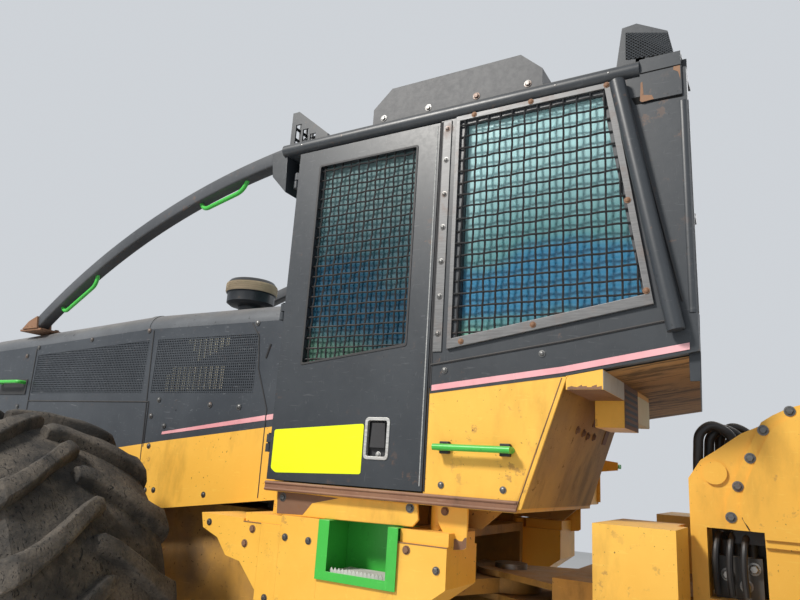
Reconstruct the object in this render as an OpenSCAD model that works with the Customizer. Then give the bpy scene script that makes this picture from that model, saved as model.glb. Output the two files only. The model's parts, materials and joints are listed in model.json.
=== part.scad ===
// Cable skidder: articulated four-wheel log skidder with cab, dozer blade and winch.
// X points forward, Y to the machine's left, Z up. The origin lies on the ground,
// under the middle of the overall length. Millimetres.

/* [Layout] */
// Distance between the two axles
wheelbase = 3900; // [3700:50:4200]
// From the front axle to the blade's front
blade_reach = 2050; // [2000:10:2200]
// From the rear axle to the butt plate's back
tail_reach = 1150; // [1100:10:1300]
// Width over the tyres
overall_w = 3300; // [3240:10:3500]
// Share of the wheelbase that lies ahead of the articulation pivot
pivot_share = 0.5; // [0.48:0.01:0.52]

/* [Tyres] */
// Tyre radius over the lugs
tyre_r = 915; // [890:5:940]
// Tyre width
tyre_w = 775; // [740:5:800]
// Lug height
lug_h = 55; // [40:5:65]
// Lug width
lug_w = 72; // [60:2:84]
// Lugs on each half of the tread
lug_n = 18; // [16:1:20]
// Rim radius at the bead
rim_r = 406; // [380:2:420]
// Wheel hub radius
hub_r = 205; // [190:5:230]
// Wheel spindle radius
spindle_r = 95; // [80:5:110]

/* [Cab] */
// Radius of the round rear pillars
pillar_r = 28; // [22:1:30]
// Half width of the cab
cab_hw = 800; // [780:5:820]
// From the front axle back to the cab's front wall
cab_setback = 1160; // [1140:10:1200]
// Height of the cab floor's underside
floor_z = 1548; // [1540:2:1570]
// Top of the roof rails
roof_z = 3160; // [3120:5:3200]
// Roof rail radius
rail_r = 31; // [26:1:38]
// Roof length along the rails
roof_l = 1653; // [1600:5:1700]
// Roof rail overhang ahead of the front wall
roof_lip = 107; // [95:2:120]
// Side wall thickness
wall_t = 34; // [28:1:40]
// Roof box height
roof_box_h = 210; // [180:2:240]

/* [Doors] */
// Door width
door_w = 740; // [720:5:750]
// Door thickness
door_t = 40; // [34:1:46]
// Gap round a door
door_gap = 6; // [6:1:8]
// Width of the door's frame round its window
door_stile = 118; // [105:1:130]
// Radius of the door's hinge pins
hinge_r = 6; // [5:1:8]
// How much shorter the cab's right side is
rear_skew = 168; // [120:4:180]
// Pitch of the window guards' wires
mesh_pitch = 52; // [46:1:60]
// Thickness of the window guards' wires
wire_t = 6; // [5:1:8]

/* [Hood] */
// Half width of the hood
hood_hw = 600; // [590:2:640]
// Height of the hood side panels' lower edge at the front
hood_low_z = 1383; // [1350:1:1410]
// Height of the hood's top over the front axle
hood_top_z = 2432; // [2400:4:2460]
// Radius of the hood's shoulders
hood_r = 95; // [80:5:110]
// Fall of the hood's nose
hood_fall = 84; // [70:2:110]
// Hood sheet thickness
sheet_t = 14; // [10:1:18]
// From the front axle to the grille's face
nose_reach = 1525; // [1480:5:1560]

/* [Frames] */
// Half width of the front frame
frame_hw = 450; // [440:5:460]
// Frame plate thickness
plate_t = 40; // [32:2:46]
// Height of the frames' underside
belly_z = 590; // [580:5:610]
// Height of the front frame's top
frame_top_z = 1440; // [1430:2:1450]
// Radius of the tie-down and tow holes
tow_r = 32; // [26:1:36]
// Half width of the rear frame
rear_hw = 350; // [340:5:360]
// Height of the rear frame's top
rear_top_z = 1300; // [1290:5:1310]
// Axle tube radius
axle_r = 135; // [120:5:150]
// Hitch pin radius
hitch_r = 50; // [44:1:56]

/* [Steering] */
// Steering cylinder's barrel pin ahead of the pivot
steer_a = 900; // [880:10:940]
// Steering cylinder's rod pin behind the pivot
steer_b = 130; // [125:1:140]
// Sideways place of the steering cylinders
steer_y = 230; // [220:2:240]
// Steering cylinder barrel radius
steer_barrel_r = 50; // [44:1:56]
// Steering cylinder rod radius
steer_rod_r = 28; // [24:1:32]

/* [Blade] */
// Blade width
blade_w = 2700; // [2500:10:2800]
// Blade height
blade_h = 800; // [760:10:820]
// Height of the blade's cutting edge at rest
blade_z = 120; // [110:5:150]
// Blade arm thickness
arm_t = 60; // [50:2:66]
// Blade cylinder barrel radius
lift_barrel_r = 50; // [44:1:54]
// Blade cylinder rod radius
lift_rod_r = 28; // [24:1:32]

/* [Winch] */
// Winch case radius
case_r = 362; // [345:1:370]
// Height of the winch's axis
winch_z = 1610; // [1600:5:1630]
// From the rear axle forward to the winch's axis
winch_lead = 630; // [610:5:650]
// Drum barrel radius
drum_r = 130; // [115:5:150]
// Drum flange radius
flange_r = 250; // [230:5:265]
// Drum width
drum_w = 420; // [400:5:440]
// Radius of the fairlead rollers
roller_r = 60; // [50:2:66]

/* [Hidden] */

// Colours
BLACK = [0.09, 0.10, 0.11];
YELLOW = [0.93, 0.66, 0.20];
RUBBER = [0.12, 0.11, 0.10];
GREEN = [0.10, 0.72, 0.22];
STEEL = [0.62, 0.63, 0.64];
GREY = [0.42, 0.43, 0.44];
GLASS = [0.30, 0.55, 0.56, 0.4];

// Clearances
fit = 0.4;        // a pin, shaft or rod in its bore
run = 6;          // a moving piece past another
seat_gap = 0.5;   // a piece set on another

// Layout
overall_l = blade_reach + wheelbase + tail_reach;
front_x = overall_l / 2 - blade_reach;
rear_x = front_x - wheelbase;
pivot_x = front_x - wheelbase * pivot_share;
axle_z = tyre_r;
seat_y = 112;
diff_r = 250;
wheel_y = overall_w / 2 - tyre_w / 2;

// Cab places
cab_x = front_x - cab_setback;
roof_front_x = cab_x + roof_lip;
roof_rear_x = roof_front_x - roof_l;
rail_z = roof_z - rail_r;
head_z = roof_z - 2 * rail_r;
post_w = 84;
wall_rear_x = roof_rear_x - 154;
door_rear_x = cab_x - door_w;
post_rear_x = door_rear_x - post_w;
sill_z = floor_z + 42;
belt_front_z = floor_z + 426;
belt_rear_z = floor_z + 538;
tub_top_x = cab_x - 1263;
tub_low_x = cab_x - 1107;
tub_top_z = floor_z + 464;
cab_rear_x = wall_rear_x + 28;
rear_foot_z = floor_z + 671;
rear_head_x = wall_rear_x + 242;
window_low_front_z = floor_z + 570;
window_low_rear_z = floor_z + 696;

// Door hinges
hinge_x = cab_x + 24;
hinge_y = cab_hw - 15;
hinge_zs = [floor_z + 192, floor_z + 772, floor_z + 1412];
hinge_h = 34;

// Hood places
hood_rear_x = cab_x + 6;
hood_side_top_z = hood_top_z - hood_r;
nose_x = front_x + nose_reach;
cleaner_x = cab_x + 836;
exhaust_x = cab_x + 1250;
hood_break_x = front_x;

// Frame places
mount_z = frame_top_z;
front_frame_x = front_x + nose_reach - 20;
rear_frame_x = rear_x - tail_reach + 110;
tongue_low_z = belly_z + 30;
tongue_high_z = 1180;
tongue_t = 60;
ear_t = 40;
ear_gap = 5;
steer_z = 930;
tow_z = 1180;
eye_t = 50;

// Blade places, from the front axle
arm_pin_x = front_x + 350;
arm_pin_z = 700;
arm_y = 640;
blade_set = 150;
lift_y = 520;
lift_top_x = front_x + 700;
lift_top_z = 1400;
lift_low_x = front_x + 800;
lift_low_z = 650;

// Winch places
winch_x = rear_x + winch_lead;
arch_x = rear_x - 330;

// A shape drawn with x to the right and z up, from y0 to y1
module along_y(y0, y1) {
    translate([0, y1, 0]) rotate([90, 0, 0]) linear_extrude(height = y1 - y0) children();
}

// A shape drawn with y to the right and z up, from x0 to x1
module along_x(x0, x1) {
    translate([x0, 0, 0]) rotate([90, 0, 90]) linear_extrude(height = x1 - x0) children();
}

// A flat shape from z0 to z1
module along_z(z0, z1) {
    translate([0, 0, z0]) linear_extrude(height = z1 - z0) children();
}

// A box from its low corner to its high corner
module block(low, high) {
    translate(low) cube(high - low);
}

// The same thing on the left and on the right
module both() {
    children();
    mirror([0, 1, 0]) children();
}

// A rectangle with round corners
module round_rect(low, high, r) {
    translate([low[0] + r, low[1]]) square([high[0] - low[0] - 2 * r, high[1] - low[1]]);
    translate([low[0], low[1] + r]) square([high[0] - low[0], high[1] - low[1] - 2 * r]);
    for (x = [low[0] + r, high[0] - r], y = [low[1] + r, high[1] - r])
        translate([x, y]) circle(r = r, $fn = 32);
}

// A cylinder along Y, centred on y
module rod_y(r, y0, y1, fn = 48) {
    translate([0, y0, 0]) rotate([-90, 0, 0]) cylinder(r = r, h = y1 - y0, $fn = fn);
}

// A cylinder along X
module rod_x(r, x0, x1, fn = 48) {
    translate([x0, 0, 0]) rotate([0, 90, 0]) cylinder(r = r, h = x1 - x0, $fn = fn);
}

// A cylinder between two points that share a vertical or level plane
module strut(a, b, r, fn = 32) {
    d = b - a;
    translate(a) rotate([0, atan2(norm([d[0], d[1]]), d[2]), atan2(d[1], d[0])])
        rotate([0, 0, 0]) cylinder(r = r, h = norm(d), $fn = fn);
}

// Height of a line through two points at x
function line_at(x, x0, z0, x1, z1) = z0 + (z1 - z0) * (x - x0) / (x1 - x0);

// Side window opening, grown by g and its rear edge moved ahead by d
function side_window(g, d = 0) = [
    [post_rear_x - 40 + g, window_low_front_z + 30 - g],
    [post_rear_x - 40 + g, head_z - 38 + g],
    [rear_head_x + 50 + d * 0.4 - g, head_z - 38 + g],
    [cab_rear_x + 137 + d - g, window_low_rear_z + 30 - g]];

// The cab's rear edge in plan runs from the left rear corner to the right one
function rear_edge_x(y) = line_at(y, cab_hw - wall_t, wall_rear_x, wall_t - cab_hw, wall_rear_x + rear_skew);
module ahead_of_rear(d = 0) {
    along_z(sill_z, roof_z + 10) polygon([[rear_edge_x(cab_hw + 10) + d, cab_hw + 10], [cab_x + 200, cab_hw + 10],
        [cab_x + 200, -cab_hw - 10], [rear_edge_x(-cab_hw - 10) + d, -cab_hw - 10]]);
}

// Door window opening, grown by g
function door_window(g) = [
    [cab_x - door_stile - 4 + g, floor_z + 532 - g],
    [cab_x - door_stile - 4 + g, head_z - 91 + g],
    [door_rear_x + door_stile - 14 - g, head_z - 91 + g],
    [door_rear_x + door_stile - 14 - g, floor_z + 597 - g]];

// A plate with a grid of square holes, as x and z, trimmed to an outline
module mesh_plate(y0, y1, outline, x0, x1, z0, z1) {
    nx = floor((x1 - x0) / mesh_pitch);
    nz = floor((z1 - z0) / mesh_pitch);
    px = (x1 - x0) / nx;
    pz = (z1 - z0) / nz;
    h = wire_t / 2;
    holes = [for (i = [0:nx - 1], j = [0:nz - 1]) let (a = x0 + i * px, c = z0 + j * pz)
        [[a + h, c + h], [a + px - h, c + h], [a + px - h, c + pz - h], [a + h, c + pz - h]]];
    frame = [[x0 - wire_t, z0 - wire_t], [x1 + wire_t, z0 - wire_t], [x1 + wire_t, z1 + wire_t], [x0 - wire_t, z1 + wire_t]];
    intersection() {
        along_y(y0, y1) polygon(points = concat(frame, [for (b = holes) each b]),
            paths = [for (k = [0:len(holes)]) [for (m = [0:3]) 4 * k + m]]);
        along_y(y0 - 1, y1 + 1) polygon(outline);
    }
}

// Front frame: two side plates, deck, belly, tongues for the hitch and the nose
module front_chassis() {
    inner = frame_hw - plate_t;
    g = seat_gap;
    w = inner - g;
    start_x = pivot_x + 110;
    cheek_x = front_frame_x - 262;
    color(YELLOW) difference() {
        union() {
            // Side plates, open round the axle, and the cheeks at their front
            both() along_y(inner, frame_hw) difference() {
                polygon([[start_x, belly_z + 120], [start_x, frame_top_z], [cheek_x - g, frame_top_z],
                    [cheek_x - g, belly_z], [start_x + 200, belly_z]]);
                translate([front_x, axle_z]) circle(r = axle_r + 60, $fn = 48);
                translate([front_x - axle_r - 60, belly_z - 10])
                    square([2 * axle_r + 120, axle_z - belly_z + 10]);
            }
            both() along_y(inner, frame_hw) polygon([[cheek_x, belly_z], [cheek_x, frame_top_z],
                [front_frame_x, frame_top_z], [front_frame_x, belly_z + 260], [front_frame_x - 260, belly_z]]);
            // Deck under cab and hood
            block([start_x, -w, frame_top_z - plate_t], [front_frame_x, w, frame_top_z]);
            // Belly plate, open round the axle
            block([start_x + 300, -w, belly_z], [front_x - axle_r - 70, w, belly_z + 20]);
            block([front_x + axle_r + 70, -w, belly_z], [front_frame_x - 260, w, belly_z + 20]);
            // Nose plate and cross members
            block([front_frame_x - plate_t, -w, belly_z + 260], [front_frame_x, w, frame_top_z - plate_t - g]);
            for (x = [front_x - axle_r - 110, front_x + axle_r + 70])
                block([x, -w, belly_z + 20 + g], [x + 40, w, frame_top_z - plate_t - g]);
            // Axle saddle
            block([front_x - 190, -w, axle_z + 290], [front_x + 190, w, axle_z + 330]);
            // Hitch tongues
            for (z = [tongue_low_z, tongue_high_z]) along_z(z, z + tongue_t) tongue_shape();
            // Blade arm brackets
            both() along_y(frame_hw + g, arm_y - arm_t / 2 - run) translate([arm_pin_x, arm_pin_z]) {
                circle(r = 95, $fn = 48);
                translate([-140, 0]) square([280, 160]);
            }
            // Lift cylinder brackets
            both() along_y(frame_hw + g, lift_y - lift_barrel_r - run) {
                translate([lift_top_x, lift_top_z]) circle(r = 60, $fn = 48);
                translate([lift_top_x - 120, lift_top_z - 240]) square([240, 200]);
                translate([lift_top_x - 60, lift_top_z - 60]) square([120, 60]);
            }
            // Steering cylinder seats
            for (s = [-1, 1]) translate([pivot_x + steer_a, s * steer_y, 0]) {
                for (z = [steer_z - eye_t / 2 - ear_gap - ear_t, steer_z + eye_t / 2 + ear_gap])
                    block([-60, -60, z], [260, 60, z + ear_t]);
            }
            block([pivot_x + steer_a + 100, -w, steer_z - 110], [pivot_x + steer_a + 260, w, steer_z + 110]);
        }
        for (z = [tongue_low_z, tongue_high_z]) translate([pivot_x, 0, z - 1])
            cylinder(r = hitch_r + fit, h = tongue_t + 2, $fn = 64);
        both() translate([arm_pin_x, 0, arm_pin_z]) rod_y(34, frame_hw - plate_t - 1, arm_y, 48);
        both() translate([lift_top_x, 0, lift_top_z]) rod_y(24 + fit, frame_hw + g / 2, lift_y, 48);
        translate([front_x, 0, axle_z]) rod_x(170, -320, 320, 48);
        // Tie-down holes
        both() translate([front_frame_x - 130, 0, tow_z]) rod_y(tow_r, inner - 1, frame_hw + 1, 48);
    }
    // Pins of the blade arms, lift cylinders and steering barrels
    color(STEEL) {
        both() translate([arm_pin_x, 0, arm_pin_z]) rod_y(34 - fit, frame_hw - plate_t - 20, arm_y + arm_t / 2 + 14, 48);
        both() translate([lift_top_x, 0, lift_top_z])
            rod_y(24, frame_hw + g, lift_y + lift_barrel_r + 8, 48);
        for (s = [-1, 1]) translate([pivot_x + steer_a, s * steer_y, steer_z - eye_t / 2 - ear_gap - ear_t + 5])
            cylinder(r = 24, h = eye_t + 2 * ear_gap + 2 * ear_t - 10, $fn = 48);
    }
}

// Mounts, cross beams, plates and gussets between the front frame's deck and the cab
module cab_subframe() {
    g = seat_gap;
    plate_y = cab_hw - 173;
    color(YELLOW) both() {
        for (x = [cab_x - 150, cab_x - 445])
            block([x - 70, frame_hw - 160, frame_top_z + g], [x + 70, frame_hw - 20 - 3 * run, floor_z - g]);
        for (b = [[cab_x - 640, 120], [cab_x - 70, 70]]) along_x(b[0], b[0] + b[1]) polygon([[frame_hw - 30, frame_top_z + g],
            [frame_hw, frame_top_z + g], [frame_hw, frame_top_z + 22], [plate_y - g, frame_top_z + 22],
            [plate_y - g, floor_z - g], [frame_hw - 30, floor_z - g]]);
        block([cab_x - 640, plate_y, frame_top_z + 22], [cab_x + 50, plate_y + 13, floor_z - 4]);
        along_y(528, 542) polygon([[cab_x - 958, floor_z - 8], [cab_x - 640 - g, floor_z - 8],
            [cab_x - 640 - g, frame_top_z + 24], [cab_x - 870, frame_top_z + 24]]);
    }
}

// Outline of a hitch tongue, round at the pin
module tongue_shape() {
    inner = frame_hw - plate_t;
    translate([pivot_x, 0]) {
        circle(r = 135, $fn = 64);
        polygon([[0, -135], [115, -inner + seat_gap], [300, -inner + seat_gap], [300, inner - seat_gap], [115, inner - seat_gap], [0, 135]]);
    }
}

// Axle housing with its differential, trumpets and spindles
module axle(x, saddle_z) {
    color(YELLOW) translate([x, 0, axle_z]) {
        difference() {
            union() {
                rod_y(axle_r, -wheel_y + 200, wheel_y - 200, 64);
                rod_x(diff_r, -190, 190, 64);
                rod_x(150, 189, 300, 48);
                both() rod_y(190, wheel_y - 330, wheel_y - 180, 64);
                both() rod_y(spindle_r, wheel_y - 190, wheel_y + 60, 64);
            }
        }
    }
    color(YELLOW) block([x - 120, -200, axle_z + 180], [x + 120, 200, saddle_z]);
}

module front_axle() { axle(front_x, axle_z + 290); }
module rear_axle() { axle(rear_x, rear_top_z - plate_t); }

// The engine is one plain block
module engine() {
    color(GREY) block([cab_x + 260, -330, frame_top_z + 20], [front_x + 560, 330, hood_top_z - 160]);
    color(GREY) block([front_x + 700, -430, frame_top_z + seat_gap], [front_x + 900, 430, hood_top_z - 190]);
    color(GREY) both() block([front_x + 720, 429, frame_top_z + 160], [front_x + 880, 560, hood_top_z - 200]);
    color(GREY) for (x = [cab_x + 330, front_x + 420]) both()
        block([x - 50, 230, frame_top_z + seat_gap], [x + 50, 330, frame_top_z + 21]);
}

// Section of the hood's top as y and z, grown by g on both faces
module hood_section(top, g = 0) {
    c = hood_hw - hood_r;
    difference() {
        union() {
            translate([-c, top - hood_r]) square([2 * c, hood_r + g]);
            for (s = [-1, 1]) translate([s * c, top - hood_r]) circle(r = hood_r + g, $fn = 48);
        }
        translate([-c, top - 3 * hood_r]) square([2 * c, 3 * hood_r - sheet_t - g]);
        for (s = [-1, 1]) translate([s * c, top - hood_r]) circle(r = hood_r - sheet_t - g, $fn = 48);
        translate([-hood_hw - 10, top - 4 * hood_r]) square([2 * hood_hw + 20, 3 * hood_r]);
    }
}

hood_slope = atan(hood_fall / (nose_x - hood_break_x));

// Hood top: level behind the break, falling ahead of it
module hood_top() {
    color(BLACK) difference() {
        union() {
            along_x(hood_rear_x, hood_break_x) hood_section(hood_top_z);
            // Strap over the seam
            along_x(hood_break_x - 24, hood_break_x + 16) hood_section(hood_top_z - 0.3, 3);
            translate([hood_break_x, 0, hood_top_z]) rotate([0, hood_slope, 0])
                along_x(-4, (nose_x - hood_break_x) / cos(hood_slope)) hood_section(0);
        }
        translate([cleaner_x, 150, hood_top_z - 60]) cylinder(r = 69 + fit, h = 100, $fn = 48);
        translate([exhaust_x, -330, hood_top_z - 90]) cylinder(r = 84 + fit, h = 130, $fn = 48);
    }
}

// Bottom of the hood's top sheet at x
function hood_edge(x) = x < hood_break_x ? hood_side_top_z
    : hood_side_top_z - (x - hood_break_x) * tan(hood_slope);

// Openings of the hood sides, as x and z, grown by g
hood_spans = [[hood_rear_x + 315, front_x - 110], [front_x - 40, front_x + 980]];
function hood_opening(o, g) = [[o[0] - g, hood_low_z + 600 - g], [o[1] + g, hood_low_z + 600 - g],
    [o[1] + g, hood_edge(o[1] + g) - 62 + g], [o[0] - g, hood_edge(o[0] - g) - 62 + g]];

// Hood side panels with their grille openings
module hood_sides() {
    color(BLACK) both() along_y(hood_hw - sheet_t, hood_hw) difference() {
        polygon([[hood_rear_x, hood_low_z + 128], [hood_rear_x, hood_edge(hood_rear_x) - 0.6],
            [hood_break_x, hood_edge(hood_break_x) - 0.6], [nose_x, hood_edge(nose_x) - 0.6],
            [nose_x, hood_low_z + 60], [nose_x - 300, hood_low_z], [front_x - 165, hood_low_z]]);
        for (o = hood_spans) polygon(hood_opening(o, 0));
    }
    // Trays behind the openings
    color(BLACK) both() for (o = hood_spans)
        along_y(hood_hw - sheet_t - 5, hood_hw - sheet_t + 1) polygon(hood_opening(o, 12));
}

// Radiator grille in the nose
module radiator_grille() {
    low = frame_top_z + 20;
    high = hood_edge(nose_x) - 10;
    w = hood_hw - sheet_t - 0.4;
    color(BLACK) along_x(nose_x - 40, nose_x) difference() {
        translate([-w, low]) square([2 * w, high - low]);
        for (j = [0:13]) for (s = [-1, 1])
            translate([s > 0 ? 20 : -w + 40, low + 45 + j * (high - low - 70) / 14])
                square([w - 60, (high - low - 70) / 14 - 22]);
    }
    color(BLACK) block([nose_x - 40, -frame_hw, frame_top_z + seat_gap], [nose_x, frame_hw, frame_top_z + 21]);
}

// Lower cab: floor, yellow side panels and a sloping rear wall that steps forward on the right
tub_step_y = -150;
tub_step_x = cab_x - 980;
module cab_tub() {
    t = 24;
    color(YELLOW) {
        block([tub_low_x, tub_step_y, floor_z], [cab_x, cab_hw, sill_z - 2]);
        block([tub_step_x, -cab_hw, floor_z], [cab_x, tub_step_y + 1, sill_z - 2]);
        along_y(cab_hw - t, cab_hw) polygon([[post_rear_x + post_w - 6, sill_z - 4],
            [post_rear_x + post_w - 6, belt_front_z - 2],
            [tub_top_x, tub_top_z - 2], [tub_low_x, sill_z - 4]]);
        along_y(-cab_hw, t - cab_hw) polygon([[post_rear_x + post_w - 6, sill_z - 4],
            [post_rear_x + post_w - 6, belt_front_z - 2], [tub_step_x, tub_top_z - 35], [tub_step_x, sill_z - 4]]);
        along_y(tub_step_y, cab_hw - 1) polygon([[tub_low_x, floor_z + 10], [tub_top_x, tub_top_z - 2],
            [tub_top_x + 28, tub_top_z - 2], [tub_low_x + 28, floor_z + 10]]);
        along_y(tub_step_y, tub_step_y + t) polygon([[tub_low_x, floor_z + 10], [tub_top_x, tub_top_z - 2],
            [tub_step_x + 1, tub_top_z - 2], [tub_step_x + 1, floor_z + 10]]);
        block([tub_step_x, -cab_hw + 1, floor_z + 10], [tub_step_x + t, tub_step_y + 1, tub_top_z - 38]);
        block([tub_step_x, -cab_hw + wall_t + 1, floor_z + 10], [tub_step_x + t, tub_step_y + 1, tub_top_z - 2]);
        block([tub_top_x, -cab_hw + wall_t + 1, tub_top_z - 26], [tub_step_x + 1, tub_step_y + 1, tub_top_z - 2]);
    }
}

// Height of the rear overhang's underside at x
function deck_z(x) = line_at(x, wall_rear_x, belt_rear_z, tub_top_x, tub_top_z) - 1.5;

// Under the rear overhang: tool box, slotted vent and filter case
module deck_boxes() {
    color(YELLOW) along_y(480, cab_hw - 1) polygon([[cab_x - 1400, 1966], [cab_x - 1400, deck_z(cab_x - 1400)],
        [tub_top_x - 12, deck_z(tub_top_x - 12)], [tub_top_x - 12, 1966]]);
    color(GREY) difference() {
        along_y(230, 479.5) polygon([[cab_x - 1400, 1866], [cab_x - 1400, deck_z(cab_x - 1400)],
            [tub_top_x - 30, deck_z(tub_top_x - 30)], [tub_top_x - 30, 1866]]);
        for (i = [0:5]) block([cab_x - 1401, 244 + i * 38, 1884], [cab_x - 1388, 262 + i * 38, 2004]);
    }
    color(GREY) along_y(-10, 218) polygon([[cab_x - 1400, 1902], [cab_x - 1400, deck_z(cab_x - 1400)],
        [cab_x - 1300, deck_z(cab_x - 1300)], [cab_x - 1300, 1902]]);
}

// One upper side of the cab, for the left, its rear edge moved ahead by d
module cab_side(d = 0) {
    x = wall_rear_x + d;
    color(BLACK) along_y(cab_hw - wall_t, cab_hw) difference() {
        polygon([[door_rear_x - door_gap, belt_front_z], [door_rear_x - door_gap, head_z],
            [x, head_z], [x, line_at(x, wall_rear_x, belt_rear_z, tub_top_x, tub_top_z)], [tub_top_x, tub_top_z]]);
        polygon(side_window(0, d));
    }
    // Pillar behind the door with the door's stop
    color(BLACK) block([door_rear_x - 40, cab_hw - wall_t - 40, sill_z], [door_rear_x - door_gap - 2, cab_hw - wall_t + 9, head_z - 1]);
    color(BLACK) block([door_rear_x - 39, cab_hw - wall_t - 39, sill_z + 1], [door_rear_x + 30, cab_hw - wall_t - door_gap - 7, head_z - 2]);
    // Round pillar behind the side window
    color(BLACK) strut([rear_head_x - 13 + d * 0.2, cab_hw + seat_gap + pillar_r, head_z - 20],
        [cab_rear_x + 34 + d, cab_hw + seat_gap + pillar_r, rear_foot_z - 70], pillar_r);
}
module cab_side_left() { cab_side(); }
module cab_side_right() { mirror([0, 1, 0]) cab_side(rear_skew + 4); }

// Front wall with the windscreen opening and front posts
module cab_front() {
    w = cab_hw - door_t - door_gap - 4;
    color(BLACK) along_x(cab_x - 60, cab_x) difference() {
        translate([-w, sill_z]) square([2 * w, head_z - sill_z]);
        translate([-w + 70, hood_top_z + 60]) square([2 * w - 140, head_z - hood_top_z - 130]);
    }
    // Hinge brackets with their pins
    color(BLACK) both() for (z = hinge_zs) {
        block([cab_x - 1, w - 30, z - hinge_h], [hinge_x + 11, w, z + 1]);
        block([hinge_x - 11, w - 1, z - hinge_h], [hinge_x + 11, hinge_y, z + 1]);
        translate([hinge_x, hinge_y, z - hinge_h]) cylinder(r = 13, h = hinge_h + 1, $fn = 48);
        translate([hinge_x, hinge_y, z - hinge_h + 1]) cylinder(r = hinge_r, h = 2 * hinge_h + run + 5, $fn = 48);
    }
}

// Rear wall with its window opening, and the deck under the overhang
module cab_rear() {
    w = cab_hw - wall_t - seat_gap;
    t = 30;
    low = line_at(wall_rear_x - 20, wall_rear_x, belt_rear_z + 1, tub_top_x + 20, tub_top_z);
    color(BLACK) difference() {
        intersection() {
            along_y(-w, w) polygon([[wall_rear_x - 20, low], [wall_rear_x - 20, head_z], [tub_top_x - 90, head_z],
                [tub_top_x - 90, tub_top_z + 41], [tub_top_x + 26, tub_top_z + 20], [tub_top_x + 20, tub_top_z]]);
            ahead_of_rear();
        }
        intersection() {
            along_y(-w - 5, w + 5) polygon([[wall_rear_x - 20, low + 24], [wall_rear_x - 20, head_z + 5],
                [tub_top_x + 40, head_z + 5], [tub_top_x + 40, tub_top_z + 20 - 2.3]]);
            ahead_of_rear(t);
        }
        block([wall_rear_x - 30, -w + 150, belt_rear_z + 150], [wall_rear_x + 260, w - 150, head_z - 110]);
    }
}

// Roof panel with its round edge rails
module cab_roof() {
    color(BLACK) {
        block([roof_rear_x + rail_r, -cab_hw + 30, head_z + 8], [roof_front_x - rail_r, cab_hw - 30, roof_z - 6]);
        both() translate([0, cab_hw - 10, rail_z]) rod_x(rail_r, roof_rear_x, roof_front_x);
        for (x = [roof_rear_x + rail_r, roof_front_x - rail_r])
            translate([x, 0, rail_z]) rod_y(rail_r, -cab_hw + 10, cab_hw - 10);
        intersection() {
            union() {
                block([wall_rear_x, -cab_hw + 30, head_z + seat_gap], [roof_rear_x + 60, cab_hw - 30, head_z + 48]);
                block([wall_rear_x, -cab_hw + wall_t, head_z + seat_gap], [cab_x, cab_hw - wall_t, head_z + 9]);
            }
            ahead_of_rear();
        }
    }
}

// Box on the roof with cut corners
module roof_box() {
    x0 = roof_rear_x + 388;
    x1 = roof_rear_x + 1198;
    color(BLACK) along_y(-cab_hw + 70, cab_hw - 70) polygon([[x0, roof_z - 5.5], [x1, roof_z - 5.5],
        [x1, roof_z + 0.58 * roof_box_h], [x1 - 94, roof_z + roof_box_h], [x0 + 94, roof_z + roof_box_h],
        [x0, roof_z + 0.58 * roof_box_h]]);
}

// Frames of the side windows' guards
module window_guards() {
    for (s = [1, -1]) color(STEEL) mirror([0, s < 0 ? 1 : 0, 0]) along_y(cab_hw + seat_gap, cab_hw + 9) difference() {
        polygon(side_window(36, s < 0 ? rear_skew + 4 : 0));
        polygon(side_window(-4, s < 0 ? rear_skew + 4 : 0));
    }
}

// Wires of the side windows' guards, inside their frames
module guard_wires() {
    for (s = [1, -1]) color(GREY) mirror([0, s < 0 ? 1 : 0, 0])
        mesh_plate(cab_hw + 1, cab_hw + 7, side_window(-4 - seat_gap, s < 0 ? rear_skew + 4 : 0),
            cab_rear_x + 137, post_rear_x - 40, window_low_front_z + 30, head_z - 38);
}

// Panes of the side, front and rear windows
module cab_glass() {
    color(GLASS) {
        for (s = [1, -1]) mirror([0, s < 0 ? 1 : 0, 0]) along_y(cab_hw - wall_t + 6, cab_hw - wall_t + 12)
            polygon(side_window(-seat_gap, s < 0 ? rear_skew + 4 : 0));
    }
    w = cab_hw - door_t - door_gap - 4;
    color(GLASS) along_x(cab_x - 40, cab_x - 34)
        translate([-w + 70 + seat_gap, hood_top_z + 60 + seat_gap])
            square([2 * w - 140 - 2 * seat_gap, head_z - hood_top_z - 130 - 2 * seat_gap]);
}

// Operator's seat on its pedestal
module seat() {
    sx = cab_x - 1000;
    color(BLACK) translate([0, seat_y, 0]) {
        block([sx - 40, -180, sill_z - 1.5], [sx + 210, 180, sill_z + 330]);
        block([sx - 170, -228, sill_z + 330], [sx + 270, 228, sill_z + 450]);
        translate([sx - 160, 0, sill_z + 440]) rotate([0, -10, 0]) block([-20, -230, 0], [90, 230, 620]);
        both() block([sx - 180, 255, sill_z + 560], [sx + 180, 330, sill_z + 610]);
        both() block([sx - 60, 224, sill_z + 432], [sx + 40, 290, sill_z + 561]);
    }
}

// Dashboard with the steering wheel and pedals
module console() {
    color(GREY) translate([0, seat_y, 0]) {
        along_y(-330, 330) polygon([[cab_x - 60 - seat_gap, sill_z - 1.5], [cab_x - 60 - seat_gap, hood_top_z + 30],
            [cab_x - 170, hood_top_z + 10], [cab_x - 300, sill_z + 560], [cab_x - 240, sill_z - 1.5]]);
        strut([cab_x - 240, 0, sill_z + 600], [cab_x - 430, 0, sill_z + 747.8], 22);
        translate([cab_x - 430, 0, sill_z + 748]) rotate([0, -52, 0])
            rotate_extrude($fn = 64) translate([180, 0]) circle(r = 15, $fn = 24);
        translate([cab_x - 430, 0, sill_z + 748]) rotate([0, -52, 0]) for (a = [0, 120, 240])
            rotate([0, 0, a]) block([-9, -14, -6], [178, 14, 6]);
    }
}

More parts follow.
